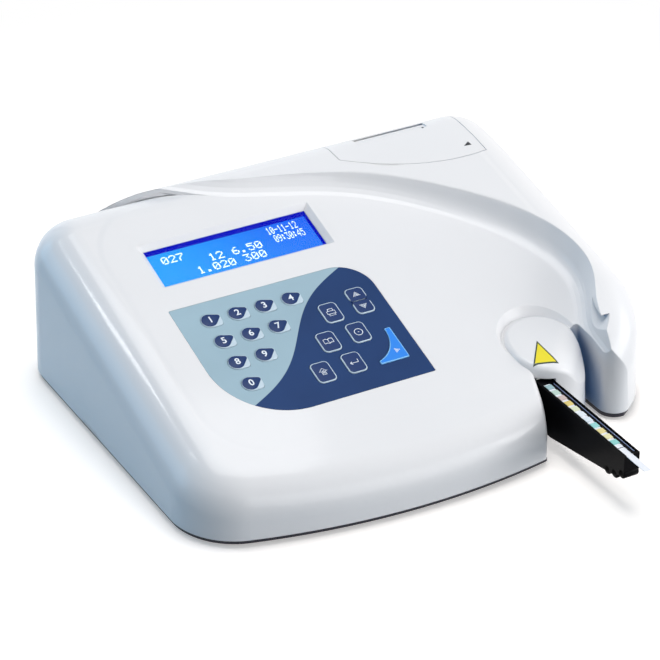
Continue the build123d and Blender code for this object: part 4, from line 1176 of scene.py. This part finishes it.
@dataclass
class Studio:
    """Floor, lights and the camera at the photograph's angle."""

    eye: Place = (-0.8268, -1.4144, 1.0396)
    forward: Place = (0.4186, 0.7521, -0.5090)
    lens: float = 152.7
    sensor: float = 36.0
    floor_size: float = 30.0
    room: Colour = (0.045, 0.07, 0.095)
    unmirrored: tuple = ("back_box",)
    lamps: tuple = (
        ("top_box", (0.05, 0.2, 1.9), (0.0, 0.0, 0.0), (1.2, 1.2), 22.5, (1.0, 1.0, 1.0)),
        ("front_box", (0.55, -1.9, 0.6), (0.0, 0.0, 0.05), (2.0, 1.0), 18.5, (1.0, 1.0, 1.0)),
        ("right_box", (1.6, -0.9, 0.5), (0.0, 0.0, 0.05), (1.6, 0.9), 17.0, (1.0, 1.0, 1.0)),
        ("glint_strip", (-1.04, 0.80, 1.6), (-0.17, 0.06, 0.09), (0.12, 0.4), 3.0, (1.0, 1.0, 1.0)),
        ("back_box", (0.7, 2.0, 0.6), (0.0, 0.0, 0.05), (1.6, 1.0), 19.0, (1.0, 0.95, 0.9)),
        ("left_box", (-1.7, 1.3, 0.4), (0.0, 0.0, 0.05), (2.0, 1.4), 18.0, (0.26, 0.64, 1.0)),
    )

    def build(self) -> None:
        """Builds the whole studio."""
        self.build_camera()
        self.build_floor()
        self.build_world()
        for lamp in self.lamps:
            self.build_lamp(*lamp)

    def build_camera(self) -> None:
        """Places the camera."""
        data = bpy.data.cameras.new("camera")
        data.lens, data.sensor_width = self.lens, self.sensor
        camera = placed("camera", data)
        camera.location = self.eye
        camera.rotation_euler = Vector(self.forward).to_track_quat("-Z", "Y").to_euler()
        bpy.context.scene.camera = camera

    def build_floor(self) -> None:
        """Lays the pale floor, which keeps the object's shadow."""
        half = self.floor_size / 2
        mesh = bpy.data.meshes.new("floor")
        mesh.from_pydata([(-half, -half, 0), (half, -half, 0), (half, half, 0), (-half, half, 0)], [],
                         [(0, 1, 2, 3)])
        mesh.materials.append(FloorFinish().material())
        floor = placed("floor", mesh)

    def build_world(self) -> None:
        """Sets the room's light and the white background."""
        world = bpy.data.worlds.new("world")
        bpy.context.scene.world = world
        world.use_nodes = True
        wiring = Wiring(world.node_tree)
        room = wiring.add("ShaderNodeBackground", {"Color": (*self.room, 1.0), "Strength": 1.0})
        white = wiring.glow(1.0, "ShaderNodeBackground")
        mixed = wiring.blend(wiring.seen(), room.outputs[0], white)
        wiring.add("ShaderNodeOutputWorld", {"Surface": mixed})

    def build_lamp(self, name: str, place: Place, aim: Place, size: Point, power: float,
                   colour: Colour) -> None:
        """Hangs one soft box.

        Args:
            name: The lamp's name.
            place: Where it hangs.
            aim: The point that it faces.
            size: Its width and height in metres.
            power: Its power in watts.
            colour: Its light's colour.
        """
        data = bpy.data.lights.new(name, "AREA")
        data.shape, data.energy, data.color = "RECTANGLE", power, colour
        data.size, data.size_y = size
        lamp = placed(name, data)
        lamp.location = place
        lamp.visible_glossy = name not in self.unmirrored
        lamp.rotation_euler = (Vector(aim) - Vector(place)).to_track_quat("-Z", "Y").to_euler()


@dataclass
class Assembly:
    """A sub-assembly: the CAD nodes that it dresses and the details that it adds."""

    shop: Shop
    nodes: tuple[str, ...] = ()

    def build(self) -> None:
        """Dresses the nodes and adds the details."""
        self.shop.dress(self.nodes)
        self.detail()

    def detail(self) -> None:
        """Adds nothing where the CAD nodes are the whole."""


@dataclass
class Housing(Assembly):
    """The moulded shell and its base, with the sticker and the hatch's marks."""

    nodes: tuple = ("top_shell", "printer_hatch", "base_tray", "rubber_feet", "housing_screws")
    sticker_top: Point = (96.7, -45.9)
    sticker_right: Point = (98.3, -71.5)
    sticker_left: Point = (80.6, -67.0)
    sticker_rows: int = 34
    sticker_border: int = 2
    sticker_thick: float = 0.00012
    arrow: tuple[Place, ...] = ((147.0, 129.1, 121.3), (141.5, 125.4, 120.6), (147.6, 124.9, 120.5))
    arrow_lift: float = 0.08
    dot_place: Point = (126.3, 158.9)
    dot_radius: float = 0.9
    dot_sunk: float = 0.2
    dot_proud: float = 0.004
    dot_crown: float = 0.012
    dot_steps: int = 32
    above: float = 0.3

    def detail(self) -> None:
        """Adds the sticker and the marks."""
        self.add_sticker()
        self.add_arrow()
        self.add_dot()

    def surface(self, node: str) -> BVHTree:
        """Reads a CAD node's surface.

        Args:
            node: The node's name.

        Returns:
            The surface, to shoot rays at.
        """
        mesh = frame["nodes"][node].data
        faces = [tuple(face.vertices) for face in mesh.polygons]
        return BVHTree.FromPolygons([v.co.copy() for v in mesh.vertices], faces)

    def drop(self, tree: BVHTree, x: float, y: float) -> tuple[Vector, Vector]:
        """Finds the surface under a point.

        Args:
            tree: The surface.
            x: The point's place across, in millimetres.
            y: The point's place along, in millimetres.

        Returns:
            The point on the surface and its normal.
        """
        hit, normal, _, _ = tree.ray_cast(Vector((x * MM, y * MM, self.above)), Vector((0.0, 0.0, -1.0)))
        return hit, normal if normal.z > 0 else -normal

    def add_sticker(self) -> None:
        """Lays the yellow triangle with its dark edge on the pod."""
        tree = self.surface("top_shell")
        rows = self.sticker_rows
        form = bmesh.new()
        grid = {}
        for down in range(rows + 1):
            for over in range(down + 1):
                shares = ((rows - down) / rows, (down - over) / rows, over / rows)
                corners = (self.sticker_top, self.sticker_left, self.sticker_right)
                x = sum(share * corner[0] for share, corner in zip(shares, corners))
                y = sum(share * corner[1] for share, corner in zip(shares, corners))
                place, normal = self.drop(tree, x, y)
                grid[down, over] = form.verts.new(place + normal * self.sticker_thick)
        for down in range(rows):
            for over in range(down + 1):
                spots = [((down, over), (down + 1, over), (down + 1, over + 1))]
                if over < down:
                    spots.append(((down, over), (down + 1, over + 1), (down, over + 1)))
                for cell in spots:
                    face = form.faces.new([grid[spot] for spot in cell])
                    middle = [sum(spot[way] for spot in cell) / 3 for way in (0, 1)]
                    edge = min(rows - middle[0], middle[1], middle[0] - middle[1])
                    face.material_index = 1 if edge < self.sticker_border else 0
        bmesh.ops.recalc_face_normals(form, faces=form.faces)
        if sum(face.normal.z for face in form.faces) < 0:
            bmesh.ops.reverse_faces(form, faces=form.faces)
        mesh = to_mesh("slot_sticker", form, Matrix.Identity(4))
        for finish in ("sticker_yellow", "sticker_edge"):
            mesh.materials.append(self.shop.material(finish))
        piece = self.shop.piece(mesh, "sticker_yellow", "overlay_print", "chassis")
        wall = piece.modifiers.new("thickness", "SOLIDIFY")
        wall.thickness, wall.offset = self.sticker_thick, -1.0

    def add_arrow(self) -> None:
        """Prints the small arrow on the hatch."""
        rings = []
        for lift in (-self.arrow_lift, self.arrow_lift):
            rings.append([(x, y, z + lift) for x, y, z in self.arrow])
        mesh = to_mesh("hatch_arrow", stack(rings), TO_METRES, smooth=False)
        self.shop.piece(mesh, "mark_ink", "hatch_white", "hatch")

    def add_dot(self) -> None:
        """Adds a small dark dot, a little proud of the hatch, beside the paper slot."""
        x, y = self.dot_place
        place, _ = self.drop(self.surface("printer_hatch"), x, y)
        top = place.z / MM
        outline = hull_outline([(x, y, self.dot_radius)], steps=self.dot_steps)
        form = crowned(outline, top - self.dot_sunk, top + self.dot_proud, self.dot_crown)
        self.shop.piece(to_mesh("hatch_dot", form, TO_METRES), "mark_ink", "hatch_white", "hatch")


# The dot columns of each sign, two hex digits to a column, with the top row in the lowest bit.
SIGNS = {
    "0": "3e5149453e", "1": "00427f4000", "2": "4261514946", "3": "2141454b31",
    "4": "1814127f10", "5": "2745454539", "6": "3c4a494930", "7": "0171090503",
    "8": "3649494936", "9": "064949291e", "-": "0808080808", ":": "0036360000",
    ".": "0060600000", " ": "0000000000"}


@dataclass
class DisplayUnit(Assembly):
    """The graphic display, with plain digits made of lit dots."""

    nodes: tuple = ("display_window", "display_frame", "display_glass", "display_backlight",
                    "display_board", "display_screws")
    pitch: float = 0.5
    dot_share: float = 0.84
    sign_step: int = 6
    sign_rows: int = 7
    depth: float = 6.97
    left: float = -115.0
    top: float = 123.4
    lines: tuple = (
        ("027", 12, 7, (2, 2)), ("10-11-12", 178, 3, (1, 2)), ("09:30:45", 182, 20, (1, 2)),
        ("12 6.50", 78, 22, (2, 2)), ("1.020 300", 52, 40, (2, 2)))

    def dots(self) -> list[Place]:
        """Places every lit dot.

        Returns:
            The dots' places in the frame, in metres.
        """
        matrix = SLOPE.matrix()
        places = []
        for words, column, row, (wide, tall) in self.lines:
            for number, sign in enumerate(words):
                for across, bits in enumerate(bytes.fromhex(SIGNS[sign])):
                    for down in (bit for bit in range(self.sign_rows) if bits >> bit & 1):
                        for part in range(wide * tall):
                            x = column + (number * self.sign_step + across) * wide + part % wide
                            y = row + down * tall + part // wide
                            spot = Vector((self.left + x * self.pitch, self.top - y * self.pitch,
                                           -self.depth))
                            places.append(tuple(matrix @ spot))
        return places

    def detail(self) -> None:
        """Lights the dots."""
        side = self.pitch * self.dot_share * MM
        repeat = Repeat("display_digits", Unit.TILE, (side, side, 1.0), SLOPE.angle)
        mesh = repeat.mesh(self.dots(), self.shop.material("display_dots"))
        self.shop.piece(mesh, "display_dots", "display_blue", "chassis")


class Icon(Enum):
    """Plain signs on the function keys, as strokes in millimetres."""

    PRINTER = (
        ((-3.1, -1.4), (-3.1, 1.2), (3.1, 1.2), (3.1, -1.4), (-3.1, -1.4)),
        ((-1.9, 1.2), (-1.5, 3.2), (2.1, 3.2), (1.9, 1.2)),
        ((-1.9, -1.4), (-2.3, -3.0), (2.3, -3.0), (1.9, -1.4)))
    BOOK = (
        ((0.0, -2.0), (-1.2, -1.3), (-3.4, -1.5), (-3.4, 2.2), (-1.2, 2.4), (0.0, 1.7), (0.0, -2.0)),
        ((0.0, -2.0), (1.2, -1.3), (3.4, -1.5), (3.4, 2.2), (1.2, 2.4), (0.0, 1.7)))
    HOME = (
        ((-2.9, 0.4), (0.0, 3.0), (2.9, 0.4), (1.4, 0.4), (1.4, -2.6), (-1.4, -2.6), (-1.4, 0.4),
         (-2.9, 0.4)),
        ((-0.5, -1.8), (-0.5, 1.0)), ((0.5, -1.8), (0.5, 1.0)))
    RING = (
        tuple((2.9 * math.cos(k * math.pi / 12), 2.9 * math.sin(k * math.pi / 12)) for k in range(24))
        + ((2.9, 0.0),),
        ((-0.45, 0.0), (0.45, 0.0)))
    ENTER = (
        ((3.2, 2.0), (3.2, -0.6), (-3.0, -0.6)),
        ((-1.6, 0.7), (-3.0, -0.6), (-1.6, -1.9)))
    UP = (((-2.7, -1.6), (2.7, -1.6), (0.0, 2.1), (-2.7, -1.6)),
          ((-1.7, -1.1), (1.7, -1.1), (0.0, 1.2), (-1.7, -1.1)), ((-0.8, -0.6), (0.8, -0.6), (0.0, 0.4)))
    DOWN = (((-2.7, 1.6), (2.7, 1.6), (0.0, -2.1), (-2.7, 1.6)),
            ((-1.7, 1.1), (1.7, 1.1), (0.0, -1.2), (-1.7, 1.1)), ((-0.8, 0.6), (0.8, 0.6), (0.0, -0.4)))
    PLAY = (((-1.4, -1.9), (1.9, 0.0), (-1.4, 1.9), (-1.4, -1.9)),
            ((-0.9, -1.0), (0.8, 0.0), (-0.9, 1.0), (-0.9, -1.0)), ((-0.5, -0.2), (-0.5, 0.2), (0.1, 0.0)))


@dataclass
class Keypad(Assembly):
    """The printed membrane and its keys, each crown and sign riding on its own key."""

    nodes: tuple = ("keypad_backing", "keypad_overlay")
    pitch: float = 20.5
    first: Point = (-105.3, 48.2)
    rows: tuple = ((1, 2, 3, 4), (5, 6, 7), (8, 9), (0,))
    rise: float = 0.6
    crown_drop: tuple = ((-1.6, 0.15, 5.55), (5.1, 1.9, 1.75))
    box_size: Point = (13.8, 18.2)
    box_round: float = 3.5
    rim: float = 0.75
    arrow_height: float = 11.8
    ink_width: float = 0.55
    boxes: tuple = (
        ("print", Icon.PRINTER, (-24.6, 26.7)), ("menu", Icon.BOOK, (-39.2, 2.9)),
        ("line", Icon.HOME, (-55.8, -20.9)), ("clear", Icon.RING, (-15.6, 3.7)),
        ("enter", Icon.ENTER, (-32.0, -20.2)))
    arrows: tuple = (("up", Icon.UP, (-0.2, 36.6)), ("down", Icon.DOWN, (-0.2, 24.0)))
    start_corners: tuple = ((-15.0, -28.3), (7.0, -28.3), (7.0, 0.6), (2.5, 0.6))
    start_bay: Point = (-2.4, -16.5)
    start_heel: Point = (-15.0, -25.3)
    start_steps: int = 24
    start_wall: float = 0.08
    start_sign: Place = (1.4, -20.4, 0.1)
    sunk: float = 0.05
    crown_wall: float = 0.12
    crown_rise: float = 0.4
    digit_size: float = 7.4
    digit_thick: float = 0.13
    digit_shift: Place = (-0.8, 0.1, 0.42)
    field_wall: float = 0.06
    field_rise: float = 0.12
    field_open_round: float = 0.2
    sign_lift: float = 0.17
    sign_flat: float = 0.3

    def detail(self) -> None:
        """Adds the crowns and signs."""
        for row, digits in enumerate(self.rows):
            for column, digit in enumerate(digits):
                self.add_number(digit, self.first[0] + column * self.pitch,
                                self.first[1] - row * self.pitch)
        for name, icon, spot in self.boxes:
            size = (self.box_size[0] - 2 * self.rim, self.box_size[1] - 2 * self.rim)
            inner = self.box_round - self.rim
            outline = box_outline(*spot, *size, (inner, inner))
            self.add_sign(name, outline, icon, spot)
        for name, icon, spot in self.arrows:
            outline, middle = self.arrow_outline(name, spot)
            self.add_sign(name, outline, icon, middle)
        self.add_start()

    def ink(self, x: float, y: float, height: float) -> Matrix:
        """Returns the matrix that puts a sign at a place on the panel."""
        return SLOPE.matrix() @ Matrix.Translation((x, y, height))

    def add_key(self, name: str, pad: bpy.types.Mesh, sign: bpy.types.Mesh, rim: str = "key_rim",
                finish: str = "key_navy") -> None:
        """Dresses a key and adds its raised pad and its sign.

        Args:
            name: The key's name.
            pad: The pad's mesh.
            sign: The sign's mesh.
            rim: The key's own finish.
            finish: The pad's finish.
        """
        self.shop.dress((f"key_{name}",), rim)
        self.shop.piece(pad, finish, finish, f"button_{name}")
        self.shop.piece(sign, "legend_ink", finish, f"button_{name}")

    def add_number(self, digit: int, x: float, y: float) -> None:
        """Adds a number key's crown and digit.

        Args:
            digit: The digit.
            x: The key's middle across the panel.
            y: The key's middle up the panel.
        """
        outline = hull_outline([(x + cx, y + cy, radius) for cx, cy, radius in self.crown_drop])
        form = crowned(outline, self.rise - self.sunk, self.rise + self.crown_wall, self.crown_rise)
        across, up, lift = self.digit_shift
        sign = lettered(f"digit_{digit}", str(digit), self.digit_size, self.digit_thick,
                        self.ink(x + across, y + up, self.rise + lift))
        self.add_key(str(digit), to_mesh(f"crown_{digit}", form, SLOPE.matrix()), sign)

    def arrow_outline(self, name: str, spot: Point) -> tuple[list[Point], Point]:
        """Draws the inner field of an arrow key, open towards its neighbour.

        Args:
            name: "up" or "down".
            spot: The key's middle.

        Returns:
            The field's outline and its middle.
        """
        lift = self.rim / 2 if name == "down" else -self.rim / 2
        middle = (spot[0], spot[1] + lift)
        inner = self.box_round - self.rim
        near = self.field_open_round
        rounds = (inner, near) if name == "up" else (near, inner)
        size = (self.box_size[0] - 2 * self.rim, self.arrow_height - self.rim)
        return box_outline(*middle, *size, rounds), middle

    def add_sign(self, name: str, outline: Sequence[Point], icon: Icon, spot: Point) -> None:
        """Adds a function key's navy field and its sign.

        Args:
            name: The key's name.
            outline: The field's outline.
            icon: The sign.
            spot: The sign's middle.
        """
        form = crowned(outline, self.rise - self.sunk, self.rise + self.field_wall, self.field_rise)
        sign = stroked(f"sign_{name}", icon.value, self.ink_width, self.sign_flat,
                       self.ink(*spot, self.rise + self.sign_lift))
        self.add_key(name, to_mesh(f"field_{name}", form, SLOPE.matrix()), sign)

    def start_outline(self) -> list[Point]:
        """Draws the start key's outline, with its hollow curve.

        Returns:
            The outline's points.
        """
        top, bay, heel = Vector(self.start_corners[-1]), Vector(self.start_bay), Vector(self.start_heel)
        pull = bay * 2 - (top + heel) / 2
        curve = []
        for number in range(1, self.start_steps):
            share = number / self.start_steps
            point = top * (1 - share) ** 2 + pull * 2 * share * (1 - share) + heel * share ** 2
            curve.append(tuple(point))
        return [*self.start_corners, *curve, self.start_heel]

    def add_start(self) -> None:
        """Adds the start key's bright field and its sign."""
        outline = inset_outline(self.start_outline(), self.rim)
        rings = [[(*point, height) for point in outline]
                 for height in (self.rise - self.sunk, self.rise + self.start_wall)]
        pad = to_mesh("field_start", stack(rings), SLOPE.matrix(), smooth=False)
        x, y, lift = self.start_sign
        sign = stroked("sign_start", Icon.PLAY.value, self.ink_width, self.sign_flat,
                       self.ink(x, y, self.rise + lift))
        self.add_key("start", pad, sign, "key_rim_blue", "key_blue")


@dataclass
class Carriage(Assembly):
    """The strip carriage with its toe, its rail with a painted highlight bead, and the strip with its
    pads.
    """

    nodes: tuple = ("strip_carriage", "test_strip", "reagent_pads", "reference_tile")
    sides: Point = (80.5, 92.5)
    lobes: tuple = ((-158.8, 23.4, 3.5), (-167.0, 25.2, 3.6), (-174.8, 29.2, 3.6))
    rail: tuple = (89.7, -175.0, -79.0)
    rail_radius: float = 0.3
    rail_taper: Point = (0.4, 0.3)
    rail_steps: int = 12
    lobe_soft: float = 0.25
    lobe_taper: Point = (0.3, 0.4)
    lobe_steps: int = 40
    top: float = 44.0

    def detail(self) -> None:
        """Adds the toe and the rail's painted highlight bead."""
        for number, (y, z, radius) in enumerate(self.lobes):
            self.add_lobe(number, y, z, radius)
        self.add_rail()

    def add_lobe(self, number: int, y: float, z: float, radius: float) -> None:
        """Adds one round rib across the underside of the toe.

        Args:
            number: The rib's number.
            y: Its middle along the carriage.
            z: Its middle's height.
            radius: Its radius.
        """
        left, right = self.sides
        soft = radius * self.lobe_soft
        near, shy = (soft * share for share in self.lobe_taper)
        stations = ((left, -soft), (left + near, -shy), (left + soft, 0.0),
                    (right - soft, 0.0), (right - near, -shy), (right, -soft))
        rings = []
        for x, grow in stations:
            ring = hull_outline([(y, z, radius)], grow, self.lobe_steps)
            rings.append([(x, py, pz) for py, pz in ring])
        mesh = to_mesh(f"toe_lobe_{number}", stack(rings), TO_METRES)
        self.shop.piece(mesh, "carriage_black", "carriage_black", "carriage")

    def add_rail(self) -> None:
        """Adds a bead along the strip's channel, on the ledge's edge, whose pale colour is a painted
        highlight.
        """
        x, front, back = self.rail
        run, thin = self.rail_taper
        rings = []
        for y, share in ((front, thin), (front + run, 1.0), (back - run, 1.0), (back, thin)):
            ring = hull_outline([(x, self.top, self.rail_radius * share)], steps=self.rail_steps)
            rings.append([(px, y, pz) for px, pz in ring])
        mesh = to_mesh("channel_highlight_bead", stack(rings), TO_METRES)
        self.shop.piece(mesh, "rail_glint", "carriage_black", "carriage")


@dataclass
class Drive(Assembly):
    """The carriage's guide, pinion, motor and reading head."""

    nodes: tuple = ("drive_pinion", "carriage_motor", "motor_seat", "carriage_guide", "optical_head",
                    "head_lenses")


@dataclass
class Printer(Assembly):
    """The ticket printer in its bay under the hatch."""

    nodes: tuple = ("printer_frame", "print_head", "platen_roller", "platen_shaft", "platen_gear",
                    "printer_motor", "printer_pinion")


@dataclass
class Boards(Assembly):
    """The main board with its chips' legs, and the supply in its cage."""

    left: float = -150.0
    right: float = 56.0
    front: float = -44.0
    back: float = 76.0
    top: float = 14.9
    chips: tuple = ((0.2, 0.3, 1.0), (0.45, 0.65, 0.6), (0.7, 0.3, 0.8), (0.82, 0.75, 0.5))
    chip_side: float = 24.0
    leg_pitch: float = 1.27
    leg_size: Place = (0.5, 1.5, 0.6)
    leg_out: float = 0.7
    leg_lift: float = 0.35
    nodes: tuple = ("main_board", "board_standoffs", "board_chips", "supply_cage", "supply_board")

    def legs(self) -> list[Place]:
        """Places the legs on two sides of every chip.

        Returns:
            The legs' places in the frame, in metres.
        """
        places = []
        for share_x, share_y, size in self.chips:
            x = self.left + (self.right - self.left) * share_x
            y = self.front + (self.back - self.front) * share_y
            half = self.chip_side * size / 2
            count = int(2 * half / self.leg_pitch) - 1
            for number in range(count):
                along = (number - (count - 1) / 2) * self.leg_pitch
                for side in (-1, 1):
                    place = (x + along, y + side * (half + self.leg_out), self.top + self.leg_lift)
                    places.append(tuple(TO_METRES @ Vector(place)))
        return places

    def detail(self) -> None:
        """Adds the legs."""
        repeat = Repeat("chip_legs", Unit.BLOCK, tuple(side * MM for side in self.leg_size))
        mesh = repeat.mesh(self.legs(), self.shop.material("screw_steel"))
        self.shop.piece(mesh, "screw_steel", "screw_steel", "chassis")


@dataclass
class RearPanel(Assembly):
    """Mains inlet, fuse, power rocker and serial port on the rear wall."""

    port: Place = (-45.0, 193.6, 35.5)
    pin_pitch: float = 2.77
    row_gap: float = 2.84
    pin_size: Place = (1.0, 1.0, 5.0)
    nodes: tuple = ("mains_inlet", "inlet_pins", "fuse_drawer", "switch_frame", "power_rocker",
                    "serial_port", "port_nuts")

    def pins(self) -> list[Place]:
        """Places the port's nine pins.

        Returns:
            The pins' places in the frame, in metres.
        """
        x, y, z = self.port
        places = []
        for count, side in ((5, 1), (4, -1)):
            for number in range(count):
                across = (number - (count - 1) / 2) * self.pin_pitch
                place = Vector((x + across, y, z + side * self.row_gap / 2))
                places.append(tuple(TO_METRES @ place))
        return places

    def detail(self) -> None:
        """Adds the port's pins."""
        repeat = Repeat("port_pins", Unit.PIN, tuple(side * MM for side in self.pin_size), math.pi / 2)
        mesh = repeat.mesh(self.pins(), self.shop.material("pin_gold"))
        self.shop.piece(mesh, "pin_gold", "port_nickel", "chassis")


@dataclass
class Analyzer:
    """The whole device, built one sub-assembly after another."""

    shop: Shop = field(default_factory=Shop)

    def build(self) -> None:
        """Builds every sub-assembly and reports each one."""
        for kind in (Housing, DisplayUnit, Keypad, Carriage, Drive, Printer, Boards, RearPanel):
            before = self.shop.count
            kind(self.shop).build()
            log.info("%s: %d added pieces", kind.__name__, self.shop.count - before)


def main() -> None:
    """Builds the studio and the analyzer."""
    logging.basicConfig(level=logging.INFO, format="%(message)s")
    bpy.context.scene.view_settings.view_transform = "Standard"
    Studio().build()
    Analyzer().build()


if __name__ == "__main__":
    main()
